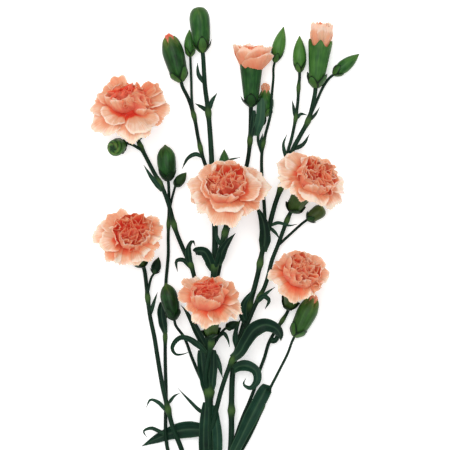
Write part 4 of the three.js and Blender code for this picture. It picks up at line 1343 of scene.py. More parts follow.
@dataclass(frozen=True)
class Flower:
    """A flower's head of petals over its calyx.

    Each guard is one of the outermost petals: its tip in the picture's plane, right of and above the
    middle of the face, its tip's height above the throat and the spread of its fan. Each ball is a
    core of upright petals: the middle of its mouth, right of and above the middle of the face, its
    height from the throat, how far it has opened and how much warmer its mouth is. The tint warms the
    whole head. The crease heat is painted shade: a warmer, deeper colour where a petal lies below its
    neighbours.
    """

    stance: Stance
    whorls: tuple[Whorl, ...]
    seed: int
    scale: float = 1.0
    calyx_length: float = CALYX_LENGTH
    calyx_radius: float = CALYX_RADIUS
    calyx_tone: float = 0.5
    calyx_olive: float = 0.0
    guards: tuple[Guard, ...] = ()
    balls: tuple[Ball, ...] = ()
    tint: float = 0.0
    # painted shade in the creases: how much warmer a buried petal gets, over what depth and radius
    painted_crease_heat: float = 0.6
    crease_shade_depth: float = 5.5
    crease_shade_radius: float = 24.0

    def calyx(self) -> Calyx:
        """The flower's calyx."""
        sizes = self.calyx_length, self.calyx_radius
        return Calyx(self.stance, *sizes, self.calyx_tone, self.calyx_olive)

    def grow_petals(self, skin: Skin) -> None:
        """Adds the heart and every petal to a skin.

        Args:
            skin: The skin.
        """
        self._heart(skin, self.stance)
        random = np.random.default_rng(self.seed)
        for guard in self.guards:
            self._guard(*guard).grow(skin, self.stance, random)
        self._grow_whorls(skin, self.whorls, self.stance, self.scale, random)
        for x, y, height, opened, warmth in self.balls:
            stance = self._lean(x, y, height)
            self._heart(skin, stance)
            whorls = ball_whorls(opened, warmth)
            self._grow_whorls(skin, whorls, stance, height / BALL_HEIGHT, random)

    def _grow_whorls(
        self,
        skin: Skin,
        whorls: tuple[Whorl, ...],
        stance: Stance,
        scale: float,
        random: np.random.Generator,
    ) -> None:
        """Adds whorls of petals to a skin.

        Args:
            skin: The skin.
            whorls: The whorls, from the outside in.
            stance: Where they stand.
            scale: Their size.
            random: The draws for the petals.
        """
        for row, whorl in enumerate(whorls):
            for i in range(whorl.count):
                azimuth = 2 * math.pi * (i + 0.5 * (row % 2)) / whorl.count + row * 0.35
                azimuth += random.uniform(-0.2, 0.2) + whorl.turn
                stretch = random.uniform(0.88, 1.12)
                droop = random.uniform(-1, 1.8)
                petal = Petal(whorl, azimuth, self.calyx_length, scale, stretch, droop)
                petal.grow(skin, stance, random)

    def _lean(self, x: float, y: float, height: float) -> Stance:
        """The stance of a ball whose mouth is at a place in the picture's plane.

        Args:
            x: The place to the right of the face's middle.
            y: The place above the face's middle.
            height: The mouth's distance from the throat.

        Returns:
            The stance, whose throat is the flower's own.
        """
        along = self.stance.axes()[2]
        throat = np.array(self.stance.foot) + along * self.calyx_length
        lean = (np.array([x, y]) + (FACE_HEIGHT - self.calyx_length) * along[:2]) / height
        lean = lean * min(1.0, 0.93 / float(np.linalg.norm(lean)))
        rise = math.sqrt(1 - float(lean @ lean))
        axis = np.array([lean[0], lean[1], rise])
        foot = tuple(throat - axis * self.calyx_length)
        heading = math.degrees(math.atan2(lean[0], lean[1]))
        return Stance(foot, heading, math.degrees(math.asin(rise)))

    def _guard(self, x: float, y: float, rise: float, spread: float) -> Petal:
        """Shapes a petal by the place of its tip.

        Args:
            x: The place to the right of the face's middle.
            y: The place above the face's middle.
            rise: The tip's height above the throat.
            spread: The spread of its fan.

        Returns:
            The petal.
        """
        level, across, along = self.stance.axes()
        target = np.array([x, y]) - (rise + self.calyx_length - FACE_HEIGHT) * along[:2]
        c, s = np.linalg.solve(np.stack([level[:2], across[:2]], axis=1), target)
        out = math.hypot(c, s)
        upright = np.clip((rise - 4) / 16, 0, 1)
        bend = (out * (0.55 + 0.5 * upright), 10 + 5 * upright)
        midline = ((1.2, 2 + rise / 6), (3, 7.5), bend, (out, rise))
        heat = (0.7, 0.03 + 0.015 * rise)
        wrap = 0.1 + 0.5 * upright
        whorl = Whorl(1, midline, spread, wrap, heat, 1.0, 0.3, cup=-0.004, fade=2.2)
        return Petal(whorl, math.atan2(s, c), self.calyx_length, 1.0)

    def _heart(self, skin: Skin, stance: Stance) -> None:
        """Adds the small core that the claws grow from.

        Args:
            skin: The skin.
            stance: Where it stands.
        """
        radii, heights = (np.array(part)[:, None] for part in zip(*HEART_OUTLINE))
        a = round_angles(24) + 0 * radii
        grid = turned(a, radii + 0 * a, heights + self.calyx_length)
        skin.solid(stance.place(grid), {"warmth": 1.0, "tone": 0.5, "reach": 0.2})

    def paint_crease_shade(self, skin: Skin, cell: float = 0.6, reach: int = 3) -> None:
        """Paints shade into a head's colour: warmer and deeper where a petal lies below the petals round
        it.

        Args:
            skin: The skin that holds every petal of the head.
            cell: The size of the columns that the head is measured in.
            reach: How many columns away a petal still shades its neighbour.
        """
        points = (np.concatenate(skin.points) - np.array(self.stance.foot)) @ self.stance.axes().T
        columns = np.round(points[:, :2] / cell).astype(int)
        columns -= columns.min(axis=0) - 2 * reach
        top = np.full(columns.max(axis=0) + 2 * reach + 1, self.calyx_length)
        np.maximum.at(top, tuple(columns.T), points[:, 2])
        for step in range(2 * reach):
            near = [np.roll(top, shift, axis) for axis in (0, 1) for shift in (-1, 1)]
            top = (top + sum(near)) / 5 if step % 2 else np.maximum.reduce([top, *near])
        buried = np.clip((top[tuple(columns.T)] - points[:, 2]) / self.crease_shade_depth, 0, 1)
        away = np.hypot(points[:, 0], points[:, 1]) / (self.crease_shade_radius * self.scale)
        # painted shade: buried points get a warmer, deeper colour; the tint is the head's own warmth
        heat = self.painted_crease_heat * buried * np.clip(1.15 - away, 0.25, 1) + self.tint
        skin.traits["warmth"] = [np.concatenate(skin.traits["warmth"]) + heat]


# ------------------------------------------------------------------------------ the plan


STEMS = {
    "main_stem": Stem(
        (
            (-7, -205.5, 2.4), (-8.5, -173, 2.5), (-9, -143.5, 3.6), (-10.5, -112.5, 5.5),
            (-10.5, -80, 7), (-10.5, -44, 8), (-10.5, -13.5, 8), (-9, 12.5, 7.5), (-7, 36.5, 7),
            (-6.5, 61, 7), (-8, 87, 7), (-9, 113, 7), (-11, 139, 7), (-13, 154.5, 8.5),
        ),
        radius=(3.3, 2.9, 2, 1.4), joints=(0.155, 0.42, 0.635, 0.895), carries="bud_top",
    ),
    "left_lower_branch": Stem(
        (
            (-9, -148, 3.6), (-15, -122, 5), (-23, -98, 6), (-29, -80, 7), (-34, -67.5, 8),
            (-37, -56, 8.5), (-40.5, -41.5, 8), (-43.5, -24.5, 7), (-46, -9, 6), (-49, 6, 6),
        ),
        radius=(1.8, 1.3), joints=(0.5, 0.88), carries="bloom_left_lower",
    ),
    "left_thin_branch": Stem(
        (
            (-20.5, -106, 5.6), (-29, -95, 4.8), (-36, -86, 4.6), (-38.5, -74, 4.4), (-38.5, -46, 2.2),
            (-39, -23.5, 1.2), (-39, 12.5, 1.1), (-38.5, 27.5, 1.4), (-37, 45, 2.2), (-37, 58, 3),
            (-36.5, 74, 3.5),
        ),
        radius=(1.3, 1), joints=(0.5, 0.86), carries="bud_left_upper",
    ),
    "left_upper_branch": Stem(
        (
            (-10.5, -13.5, 8), (-14.5, 6, 8), (-19, 26, 8), (-22, 37.5, 8), (-26.5, 47, 8),
            (-32.5, 62, 8.6), (-36, 75.5, 9.4), (-40.5, 88, 8.6), (-47, 100, 7),
        ),
        radius=(1.6, 1.3), joints=(0.37, 0.56, 0.76, 0.95), carries="bloom_left_upper",
    ),
    "left_bud_stalk": Stem(
        ((-10.8, -44, 7), (-16, -35, 5.4), (-21, -23.5, 6), (-26.5, -9, 8)),
        radius=(1.2, 0.9), carries="bud_left_middle",
    ),
    "middle_lower_stalk": Stem(
        ((-10.5, -44.5, 8), (-13, -35.5, 12), (-11.5, -24.5, 13.6)),
        radius=(1.7, 1.6), joints=(0.86,), carries="bloom_middle_lower",
    ),
    "middle_stalk": Stem(
        ((-7, 35, 7), (-4.5, 43.5, 10.4), (-2, 52, 11.6)),
        radius=(1.7, 1.6), joints=(0.75,), carries="bloom_middle",
    ),
    "centre_top_stalk": Stem(
        (
            (-7, 22, 7.5), (-4, 35, 4), (-1.5, 48, 3), (2.5, 64.5, 3.2), (8, 84, 3.6), (14.2, 103.5, 5),
            (16.2, 118, 7),
        ),
        radius=(1.4, 1.4), joints=(0.82,), carries="half_open_centre",
    ),
    "left_top_stalk": Stem(
        (
            (-8.2, 90.5, 7), (-11.5, 100, 6), (-14.5, 108.5, 6), (-17.5, 121, 6), (-20, 134.5, 6.5),
            (-24, 147, 7.5),
        ),
        radius=(1.25, 1.2), joints=(0.36, 0.66), carries="bud_showing_left",
    ),
    "right_branch": Stem(
        (
            (-9, -153.5, 3.4), (-4, -130.5, 4.5), (0.5, -104.5, 5.5), (3.8, -80, 6.5), (4.2, -49.5, 7),
            (5.2, -30, 7), (8.5, -13.5, 7), (13.5, 4, 7), (18, 19.5, 7), (21.5, 33, 7), (24.5, 48, 7),
            (28.5, 62.5, 7), (32.5, 77.5, 6), (36.5, 89, 6), (40.5, 101.5, 6), (44, 113, 6),
            (49.5, 123.5, 6.2), (54.5, 133, 6.6),
        ),
        radius=(2.1, 1.4), joints=(0.31, 0.53, 0.62, 0.78, 0.93), carries="half_open_right",
    ),
    "right_second_branch": Stem(
        (
            (-10.5, -75.5, 7.2), (-6, -57, 10.4), (-2, -41.5, 12.6), (2.5, -28.5, 13.2),
            (8.5, -14.5, 13), (14.5, 0, 12), (20, 13, 10), (25.5, 23.5, 8), (28, 31, 7), (30.5, 41, 6),
            (34, 50, 5.6),
        ),
        radius=(1.6, 1.3), joints=(0.34, 0.62, 0.95), carries="bloom_right_upper",
    ),
    "right_fork": Stem(
        (
            (24.8, 49, 7), (26, 62.5, 5.6), (25.5, 77.5, 4.6), (24, 96, 4.6), (24, 111, 5),
            (26, 122, 8), (29.5, 136, 11.4), (30.5, 149, 11), (31.5, 160, 7.5),
        ),
        radius=(1.3, 0.8), joints=(0.55,), carries="bud_centre_pointed",
    ),
    "right_lower_branch": Stem(
        (
            (3.4, -87, 6.3), (7, -74, 3.8), (11.5, -61, 3.4), (16, -50.5, 3.6), (19.4, -41.5, 4),
            (22.4, -31, 4.6), (25.7, -22, 5), (29, -11.5, 5),
        ),
        radius=(1.2, 1.1), joints=(0.9,), carries="bloom_right_lower",
    ),
    "right_thin_branch": Stem(
        (
            (0.5, -104, 5.4), (8.5, -87, 5), (16, -73.5, 5), (23, -58.5, 5), (28.5, -44, 5),
            (34.5, -32, 5.5), (41, -19, 6),
        ),
        radius=(1.05, 0.85), joints=(0.52,), carries="bud_showing_right",
    ),
}

SHOOTS = (
    Shoot(
        "left_upper_branch",
        ((-54.8, 113.4, 4.6), (-57.4, 115, 4), (-60.2, 116.6, 3.4), (-63.5, 117.6, 3)),
        0.9,
        carries="bud_facing",
    ),
    Shoot(
        "left_thin_branch",
        ((-36.6, 72, 3.4), (-34.5, 82, 4.4)),
        0.8,
        bud=Bud(Stance((-32.3, 90, 5), 40, 5), 11.4, 3.4, olive=0.2),
    ),
    Shoot(
        "left_lower_branch",
        ((-50.4, 20, 5), (-48, 30, 4.6)),
        0.8,
        bud=Bud(Stance((-46, 33, 4.4), 15, 5), 11, 3.3),
    ),
    Shoot(
        "middle_lower_stalk",
        ((-11, -20, 14), (-5, -10, 14), (-1.5, -4.5, 13.5)),
        0.8,
        bud=Bud(Stance((1, -2.5, 13.4), 65, 5), 9.5, 2.9),
    ),
    Shoot(
        "left_top_stalk",
        ((-20, 134.5, 6.5), (-21.6, 145.5, 5.4), (-22, 158.5, 4.6)),
        0.85,
        carries="bud_left_pointed",
    ),
    Shoot(
        "right_fork",
        ((24, 111, 5), (21.5, 120, 4.6), (23, 128, 4.6)),
        0.9,
        carries="bud_showing_centre",
    ),
    Shoot(
        "right_branch",
        (
            (40.5, 101.5, 6), (41, 112, 6), (43.4, 121, 6), (46, 134, 5.6), (47.5, 145.5, 5.2),
            (48, 155, 5),
        ),
        1,
        carries="bud_right_pointed",
        joints=(0.52, 0.83),
    ),
    Shoot(
        "right_branch",
        ((54.5, 133, 6.6), (59.5, 144.5, 5.6), (63.5, 153.5, 5)),
        0.9,
        carries="bud_right_far",
    ),
    Shoot(
        "right_second_branch",
        ((34, 50.5, 5.6), (41, 57, 5.4)),
        0.85,
        carries="bud_right_middle",
    ),
)

BUDS = {
    "bud_top": Bud(Stance((-14.5, 177, 12.2), -5.5, 2), 30, 6.6, BudTop.ROUNDED),
    "bud_left_pointed": Bud(Stance((-22.6, 174.6, 4.2), -2, 0), 17, 3.9, tone=1.0),
    "bud_left_upper": Bud(
        Stance((-37, 93.5, 6.3), -5, 1), 23, 6.2, BudTop.PLUMP, tone=0.35, scale_tone=-1.5
    ),
    "bud_facing": Bud(
        Stance((-67, 116.6, 4.6), -115, 60), 14, 5.5, BudTop.ROUNDED, tone=1.4, spiral=1.0
    ),
    "bud_left_middle": Bud(
        Stance((-33, 3, 9.8), -13, 2), 24, 5.8, BudTop.PLUMP, tone=-0.1, scale_tone=-0.2
    ),
    "bud_centre_pointed": Bud(Stance((32.6, 171, 4.7), 14, 0), 23, 4.3, tone=1.4),
    "bud_right_pointed": Bud(Stance((48.6, 164.4, 5), 0, 0), 23, 4.5, tone=1.4),
    "bud_right_far": Bud(Stance((71, 162.5, 4.8), 51, 0), 21, 4.3, tone=0.9),
    "bud_right_middle": Bud(
        Stance((54, 68, 5.2), 55, 3), 13.5, 4.6, BudTop.ROUNDED, tone=-0.2, olive=0.3, scale_tone=0.2
    ),
    "bud_showing_left": Bud(
        Stance((-28.6, 158, 7.2), -15.5, 0), 28, 7, BudTop.OPENING, shows=3.2, warmth=1.05, tone=0.1
    ),
    "bud_showing_centre": Bud(
        Stance((26, 135.4, 5.7), 1, 0), 16.4, 5.6, BudTop.NARROW, shows=4.2, warmth=0.4
    ),
    "bud_showing_right": Bud(
        Stance((45.5, -8, 6.8), 27, 3), 26, 6.6, BudTop.OPENING, shows=3, tone=0.6, olive=0.1
    ),
}

LEAVES = {
    "leaf_middle_left": Leaf(
        ((-8.2, 35, 7.2), (-10.4, 42, 10.5), (-13.5, 47, 13), (-17.5, 47.5, 12.4), (-19.5, 46.5, 9)),
        6.5, roll=(0, 10), blunt=True,
    ),
    "leaf_beside_fork": Leaf(
        ((25, 47, 7.4), (26, 57, 10), (25, 66, 10.8), (22.2, 73, 10), (19.5, 77.5, 9)),
        8,
    ),
    "leaf_up_left": Leaf(
        ((-10.8, -18, 8.4), (-16.5, -8, 9), (-21.5, 1.5, 8), (-26, 9, 5.6), (-28.8, 12, 4.2)),
        5.4,
    ),
    "leaf_ring": Leaf(
        (
            (-11, -20, 9.6), (-15, -15.4, 12.6), (-19, -12, 14.2), (-24, -9, 15.2), (-29, -8.5, 15.5),
            (-33, -11.7, 15.2), (-34.5, -16, 14.8), (-32, -19.8, 14.2), (-27, -19.6, 13.8),
            (-23, -18, 13.6),
        ),
        5, roll=(30, 42),
    ),
    "leaf_right_arch": Leaf(
        (
            (5, -22.5, 13.2), (9.5, -18.5, 16.4), (13.5, -11.5, 19), (19, -3.6, 21.5), (26, -0.4, 22.5),
            (32.5, -2.4, 20.5), (35.8, -6.5, 16), (36.4, -11, 11.5),
        ),
        10, roll=(10, -15), widening=0.5, taper=4.5,
    ),
    "leaf_right_rolled": Leaf(
        (
            (4.2, -31, 7.2), (10, -27.5, 10.4), (15.5, -27.8, 12.4), (20, -31, 13.6), (20.5, -37, 13.4),
            (16.5, -41.4, 13), (12.2, -39.2, 13), (13.4, -35.4, 13.2),
        ),
        7.6, roll=(5, 34),
    ),
    "leaf_lower_right": Leaf(
        (
            (3.6, -88, 7), (9.5, -76, 9), (16.8, -61, 9.6), (23, -49, 9.4), (26, -43.5, 8),
            (27, -42.5, 5.6), (26.6, -44.5, 3),
        ),
        10.6, blunt=True, widening=0.85,
    ),
    "leaf_lower_left": Leaf(
        (
            (-10.5, -70, 6.2), (-18, -69, 3.4), (-26.5, -69.2, 2), (-36, -71.5, 1.6),
            (-45.5, -75.5, 1.4), (-54.5, -80, 1),
        ),
        11.5,
    ),
    "leaf_right_hugging": Leaf(
        (
            (14.6, -1.5, 7.4), (11.5, 6.5, 9.6), (12.5, 13.5, 11.2), (16.5, 19.5, 11.6),
            (20, 23.5, 10.6),
        ),
        5.4, roll=(0, 10),
    ),
    "leaf_left_folded": Leaf(
        (
            (-22.2, 38.5, 8.6), (-23.6, 44, 11.4), (-23.4, 50.5, 13), (-21, 54, 13.2),
            (-19.4, 50.8, 11.6),
        ),
        4.6, roll=(0, 20),
    ),
}

SMALL_LEAVES = {
    "main_stem": (
        Leaf(((-11, 138.5, 7.5), (-15, 141, 8), (-19.5, 143.5, 8)), 3),
        Leaf(((-11, 138.5, 7.5), (-8.5, 145, 8.6), (-5, 150.5, 9)), 3.4),
        Leaf(((-14, 157, 9.5), (-17.3, 162.5, 9.6), (-18, 170, 9.4)), 3),
        Leaf(((-11.8, -46, 8.8), (-13, -38, 9.8), (-14.8, -28, 10.2), (-15.8, -17, 10)), 6.4, blunt=True),
        Leaf(((-9.4, -46, 8.8), (-8.2, -38, 9.8), (-7.4, -28, 10), (-7.2, -17, 9.8)), 5, blunt=True),
        Leaf(
            ((-10.8, -105, 6.4), (-13.6, -84, 8.6), (-13.8, -68, 9.8), (-12.6, -51, 9.8)), 6.4, blunt=True
        ),
        Leaf(((-10, -105, 6.4), (-5.4, -88, 7.4), (-5, -72, 8.6), (-7.2, -53, 9)), 6.4, blunt=True),
        Leaf(((-10.8, -60, 8), (-17, -56, 9.6), (-24, -49, 10.6), (-30.5, -42, 11)), 2.6),
        Leaf(((-9, -17, 9), (-4.5, -25, 9.4), (-1.6, -35, 9)), 4.4),
        Leaf(((-8.6, 97, 8.6), (-3, 103, 10), (3.5, 106.8, 10), (10, 108.4, 9.4)), 2.8),
        Leaf(((-10, -14, 8.4), (-4.5, -8, 11), (-1, -6, 12), (1.6, -9.5, 12), (3, -15, 10.6)), 3.6),
    ),
    "left_upper_branch": (
        Leaf(((-21.8, 36, 8), (-27, 41.5, 9), (-31.5, 41, 9.4), (-31, 34, 8.4)), 3.4),
        Leaf(((-41, 86.5, 9), (-47.5, 95, 10.4), (-53, 103.5, 10.4)), 3.4),
    ),
    "left_lower_branch": (
        Leaf(((-49, 5, 6), (-46.6, 13, 7), (-44, 20.5, 7.4)), 2.8),
        Leaf(((-38, -57, 8.5), (-43.5, -51, 10.6), (-48.5, -49.4, 11.4), (-51.3, -54.5, 10.4)), 2.8),
        Leaf(((-36.8, -52, 8.6), (-33, -47, 10), (-29.3, -45, 10.4)), 2.2),
    ),
    "left_thin_branch": (
        Leaf(((-38.6, -72, 4.2), (-43, -70, 5.6), (-48, -68, 5.8), (-53, -70, 5), (-51, -74, 4)), 2.8),
        Leaf(((-39, -6, 1.9), (-40.6, 1, 2.8), (-41.6, 8, 3.2), (-41, 14, 3.2)), 5.4, blunt=True),
    ),
    "centre_top_stalk": (
        Leaf(((16.6, 120, 8), (17.8, 126.5, 9.4), (18.7, 133, 10.6), (18.9, 139, 11)), 3.6, blunt=True),
    ),
    "left_top_stalk": (
        Leaf(((-14.5, 108.5, 6), (-19, 110.5, 7.4), (-24, 108, 7.4), (-28, 101, 6)), 3),
    ),
    "middle_stalk": (
        Leaf(((-4.2, 38.5, 8.6), (-1.8, 47, 12.4), (2.4, 54, 14.4), (6.8, 59, 14.8)), 6.4),
        Leaf(((-2.4, 50.5, 11.6), (-5.4, 57, 13), (-5.6, 62.5, 13)), 3),
    ),
    "right_branch": (
        Leaf(((7.8, -16.5, 7), (6.6, -9, 9), (8, -1.5, 10), (11, 4.5, 10.2)), 3.8),
        Leaf(((29, 63.5, 7), (34.5, 65.8, 8.6), (42, 64, 8.6), (47, 65, 8)), 2.4),
        Leaf(((29, 63, 7), (33.5, 58.5, 8.6), (35.6, 55, 9)), 2.4),
        Leaf(((41.5, 104, 6), (38, 116.5, 7.4), (40.4, 123.5, 7.4)), 2.8),
        Leaf(((44.5, 113.5, 6), (51, 117, 7.4), (55, 123.5, 7.4)), 3),
        Leaf(((46, 134, 5.6), (44.8, 140, 6.4), (43.8, 145.5, 6.4)), 2.6),
        Leaf(((46.4, 133.4, 5.6), (49.4, 136.6, 6.6), (53.4, 136, 6.8)), 2.4),
        Leaf(((54.5, 132, 6.6), (59, 136.6, 7.4), (61.6, 141, 7.4)), 2.2),
    ),
    "right_second_branch": (
        Leaf(((20.5, 13.6, 10), (25, 18, 12), (28.6, 15.4, 12), (26, 9.5, 10)), 3.6),
        Leaf(((20.5, 13.6, 10), (27, 20, 12), (32.5, 24, 12)), 2.8),
    ),
    "right_lower_branch": (
        Leaf(((29, -11.5, 5), (33.4, -10, 6.6), (34, -4, 7)), 4),
    ),
    "right_thin_branch": (
        Leaf(((22.4, -60, 5), (19, -61.5, 6.2), (16.5, -64, 6.2)), 2),
    ),
    "right_fork": (
        Leaf(((24, 111, 5), (23.4, 117.5, 6.6), (24.6, 124, 8)), 3.4),
        Leaf(
            ((20.2, 122.5, 6.4), (21.2, 127, 9), (22.8, 133, 10.8), (23.4, 140, 11.2), (23.6, 147, 10.4)),
            6, blunt=True, fresh=1.1,
        ),
    ),
}

HIDDEN_BUD = Bud(Stance((-0.5, 93.5, 4.6), 0, 0), 20, 4.2)
HIDDEN_STALK = Stem(
    ((-7.5, 70, 6.6), (-5, 78.5, 4.8), (-2.6, 86, 4.6), (-0.5, 94.5, 4.6)), radius=(0.9, 0.9)
)


def bloom(
    face: Point,
    heading: float,
    lift: float,
    radius: float,
    seed: int,
    tint: float,
    girth: float,
    collar: int,
    balls: tuple[Ball, ...],
    *guards: Guard,
) -> Flower:
    """An open bloom, from the middle of its face.

    Args:
        face: The middle of its face.
        heading: Its heading from +Y towards +X, in degrees.
        lift: Its lift off the table, in degrees.
        radius: The radius of its face.
        seed: The seed of its draws.
        tint: How much warmer its colour is than the others'.
        girth: The radius of its calyx.
        collar: How many petals stand between the guards and the balls by the rule.
        balls: Its cores of upright petals.
        guards: Its outermost petals.

    Returns:
        The bloom.
    """
    along = Stance(face, heading, lift).axes()[2]
    foot = tuple(np.array(face) - along * FACE_HEIGHT)
    stance = Stance(foot, heading, lift)
    whorls = (replace(COLLAR, count=collar),)
    scale = radius / LAYER_RADIUS
    head = Flower(stance, whorls, seed, scale, guards=guards, balls=balls, tint=tint)
    return replace(head, calyx_radius=girth, calyx_tone=0.2, calyx_olive=0.3)


BLOOMS = {
    "bloom_left_upper": bloom(
        (-62, 140, 28), -15, 50, 25.5, 11, 0.06, 6.2, 0,
        ((-4.6, 11.2, 18.8, 0.24, 0.52), (14.5, 7, 17.5, 0.45, 0.1)),
        (-9.8, 20.4, 13, 20), (-23.4, 4.5, 5, 32), (-22.5, -14, 4, 34), (5.5, -21.5, 3, 32),
        (13, -14.5, 7, 34), (25, -3.5, 4, 44), (22, 9.5, 8, 32), (15, 16, 14, 18),
        (19, 15, 11, 22), (-15.5, -8, 10, 40), (-17, 13, 10, 30),
    ),
    "bloom_left_lower": bloom(
        (-62.5, 56.5, 27.6), -25, 48, 23, 23, 0.05, 6.2, 2, ((3.4, 5.5, 18.5, 0.5, 0.3),),
        (-21.5, 5.5, 5, 30), (-12.4, 14.4, 11, 34), (0, 14.4, 14, 32), (11.5, 12.5, 12, 28),
        (21, 8.5, 8, 30), (22, 2, 7, 28), (15.6, -13.2, 4, 32), (5, -17.5, 4, 40), (-12.5, -15.5, 4, 28),
    ),
    "bloom_middle": bloom(
        (2, 86.5, 38.5), 3, 49, 26.5, 35, 0.0, 6.8, 4, ((-2.5, 7.5, 20.5, 0.42, 0.18),),
        (-25.5, 2.5, 4, 42), (-19.5, -12.5, 4, 38), (-3.4, -23, 4, 32), (17.5, -13, 4, 38),
        (26, 6, 5, 42), (18.5, 12, 8, 30), (-3.5, 19.6, 13, 34), (-14, 16.5, 11, 34),
    ),
    "bloom_right_upper": bloom(
        (55.5, 93.5, 27.6), 31, 41, 23, 47, -0.06, 7.4, 0, ((6.5, 4.5, 20, 0.35, 0.18),),
        (-21, 12, 5, 34), (-14, 16.8, 9, 32), (0, 15.4, 13, 34), (13, 11, 12, 36),
        (21, -1.5, 6, 38), (18.5, -15.5, 3, 44), (-20.5, -3, 2, 18), (-9.5, -11.5, 5, 28),
        (2.5, -15.5, 9, 36),
    ),
    "bloom_middle_lower": bloom(
        (-10, 14.5, 39.6), -3, 43, 21, 59, 0.02, 6.8, 0, ((-1.5, 9, 19, 0.1, 0.42),),
        (-18.3, 9, 7, 32), (-15, 15, 8, 18), (-2.5, 16, 13, 30), (7, 15.6, 13, 32), (14, 12.5, 10, 32),
        (18.4, 5, 7, 34), (20, -8, 2, 22), (-3, -16.3, 3, 32), (-15, -3, 5, 32), (11, -11.6, 4, 34),
    ),
    "bloom_right_lower": bloom(
        (47, 31, 27), 15, 46, 20.5, 61, 0.03, 6.6, 0, ((4.5, 6, 18.5, 0.1, 0.12),),
        (-19, 1.5, 4, 40), (-10, 13, 9, 36), (1, 16.5, 13, 36), (13.5, 13, 11, 34), (19.5, 3, 7, 34),
        (11.6, -11.4, 4, 24), (-4, -16, 3, 38), (17, -4, 6, 28),
    ),
}
HALF_OPEN = {
    "half_open_centre": Flower(
        Stance((16.9, 141.2, 9.6), 0.5, 4), CUP_WHORLS, 73,
        calyx_length=26.4, calyx_radius=7.2, calyx_tone=0.4,
    ),
    "half_open_right": Flower(
        Stance((59, 153.5, 7.2), 6, 1), TUFT_WHORLS, 85,
        calyx_length=28.4, calyx_radius=7.5, calyx_tone=1.1,
    ),
}
FLOWERS = {**BLOOMS, **HALF_OPEN}
STANCES = {name: plant.stance for name, plant in {**FLOWERS, **BUDS}.items()}


# ------------------------------------------------------------------------------ the spray


GREEN_TRAITS = ("along", "around", "tone", "pale")
PETAL_TRAITS = ("reach", "fan", "warmth", "tone", "under")


@dataclass
class Spray:
    """Every piece of the spray, each in its own finish.

    Flowers bring seeds of their own. Those of the other pieces are counted up from their kind's.
    """

    finishes: Finishes = field(default_factory=Finishes)
    seed: int = 4
    leaf_seeds: int = 100
    bud_seeds: int = 200
    hidden_seed: int = 300

    def _draws(self, offset: int) -> np.random.Generator:
        """The random draws of one piece."""
        return np.random.default_rng(self.seed + offset)

    def build(self) -> None:
        """Builds the stems, the leaves, the flowers and the buds."""
        for number, (name, stem) in enumerate(STEMS.items()):
            self._stem(name, stem, self._draws(number))
        for number, (name, leaf) in enumerate(LEAVES.items()):
            skin = Skin(*GREEN_TRAITS)
            leaf.grow(skin, self._draws(self.leaf_seeds + number))
            seat(skin, f"{name}_blade", self.finishes.leaf, name)
        for name, flower in FLOWERS.items():
            self._flower(name, flower)
        for number, (name, bud) in enumerate(BUDS.items()):
            self._bud(name, bud, self._draws(self.bud_seeds + number))
        self._hidden_bud()

    def _stem(self, name: str, stem: Stem, random: np.random.Generator) -> None:
        """Builds a stem with its shoots, and its small leaves as a second piece.

        Args:
            name: The stem's node.
            stem: The stem.
            random: Its draws.
        """
        skin, leaves = Skin(*GREEN_TRAITS), Skin(*GREEN_TRAITS)
        stem.grow(skin, random, cut=name == "main_stem")
        for shoot in SHOOTS:
            if shoot.stem == name:
                shoot.grow(skin, random)
        seat(skin, f"{name}_skin", self.finishes.stem, name)
        for leaf in SMALL_LEAVES.get(name, ()):
            leaf.grow(leaves, random)
        if leaves.count:
            seat(leaves, f"{name}_leaves", self.finishes.leaf, name)

    def _flower(self, name: str, flower: Flower) -> None:
        """Builds a flower's cup and its head of petals.

        Args:
            name: The flower's name, which its two nodes start with.
            flower: The flower.
        """
        cup, head = Skin(*GREEN_TRAITS), Skin(*PETAL_TRAITS)
        flower.calyx().grow(cup, np.random.default_rng(flower.seed + 1))
        seat(cup, f"{name}_cup", self.finishes.calyx, f"{name}_calyx")
        flower.grow_petals(head)
        flower.paint_crease_shade(head)
        seat(head, f"{name}_head", self.finishes.petal, f"{name}_petals")

    def _bud(self, name: str, bud: Bud, random: np.random.Generator) -> None:
        """Builds a bud, and the petal tips that show at its top.

        Args:
            name: The bud's node.
            bud: The bud.
            random: Its draws.
        """
        skin = Skin(*GREEN_TRAITS)
        bud.grow(skin, random)
        seat(skin, f"{name}_skin", self.finishes.bud, name)
        if bud.shows:
            tips = Skin(*PETAL_TRAITS)
            bud.grow_tips(tips, random)
            seat(tips, f"{name}_tips", self.finishes.petal, f"{name}_petals")

    def _hidden_bud(self) -> None:
        """Builds the bud that peeps out from behind the middle bloom, on its own short stalk."""
        random = self._draws(self.hidden_seed)
        skin = Skin(*GREEN_TRAITS)
        HIDDEN_BUD.grow(skin, random)
        HIDDEN_STALK.grow(skin, random)
        seat(skin, "bud_behind_middle_skin", self.finishes.bud, "bud_behind_middle")


# ------------------------------------------------------------------------------ the picture


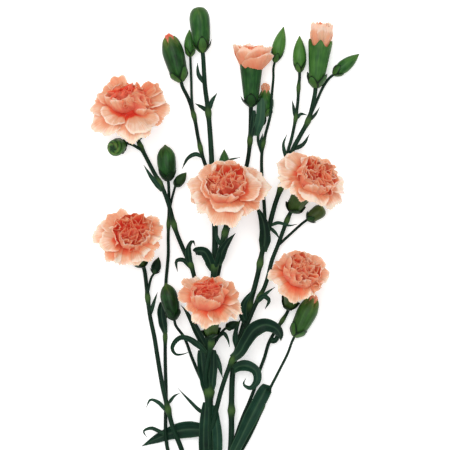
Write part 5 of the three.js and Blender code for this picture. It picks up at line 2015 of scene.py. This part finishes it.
@dataclass(frozen=True)
class Studio:
    """A white table, soft light from the upper left and a camera straight above the spray.

    Its lengths are in metres.
    """

    table_size: float = 3.0
    frame_width: float = 0.2925
    camera_height: float = 4.0
    subject_height: float = 0.015
    centre: tuple[float, float] = (0.0, 0.06435)
    sensor: float = 36.0
    sight: float = 20.0
    window_place: Point = (-0.35, 0.5, 2.2)
    window_size: float = 1.8
    window_power: float = 27.0
    sky_strength: float = 0.62
    exposure: float = 0.25

    def build(self) -> None:
        """Sets up the table, the lights and the camera."""
        self._table()
        self._camera()
        self._sky()
        self._window()
        bpy.context.scene.view_settings.view_transform = "Standard"
        bpy.context.scene.view_settings.exposure = self.exposure
        LOG.info("studio ready")

    def _table(self) -> None:
        """Adds the table's top."""
        mesh = bpy.data.meshes.new("table_top")
        half = self.table_size / 2
        corners = [(-half, -half, 0), (half, -half, 0), (half, half, 0), (-half, half, 0)]
        mesh.from_pydata(corners, [], [(0, 1, 2, 3)])
        mesh.materials.append(PalePlaster().material())
        table = bpy.data.objects.new("table_top", mesh)
        bpy.context.scene.collection.objects.link(table)

    def _camera(self) -> None:
        """Adds the camera, which looks straight down with +Y upwards."""
        data = bpy.data.cameras.new("camera")
        data.sensor_width = self.sensor
        data.lens = self.sensor * (self.camera_height - self.subject_height) / self.frame_width
        data.clip_end = self.sight
        camera = bpy.data.objects.new("camera", data)
        camera.location = (*self.centre, self.camera_height)
        bpy.context.scene.collection.objects.link(camera)
        bpy.context.scene.camera = camera

    def _sky(self) -> None:
        """Sets an even white surrounding light."""
        world = bpy.data.worlds.new("studio")
        world.use_nodes = True
        background = world.node_tree.nodes["Background"]
        background.inputs["Color"].default_value = (1, 1, 1, 1)
        background.inputs["Strength"].default_value = self.sky_strength
        bpy.context.scene.world = world

    def _window(self) -> None:
        """Adds a soft square lamp that looks at the spray."""
        data = bpy.data.lights.new("window", "AREA")
        data.size = self.window_size
        data.energy = self.window_power
        lamp = bpy.data.objects.new("window", data)
        lamp.location = self.window_place
        aim = np.array([*self.centre, 0.0]) - np.array(self.window_place)
        lamp.rotation_euler = mathutils.Vector(aim).to_track_quat("-Z", "Y").to_euler()
        lamp.visible_camera = False
        bpy.context.scene.collection.objects.link(lamp)


def main() -> None:
    """Builds the spray and its studio."""
    logging.basicConfig(level=logging.INFO, format="%(message)s")
    Spray().build()
    Studio().build()


if __name__ == "__main__":
    main()
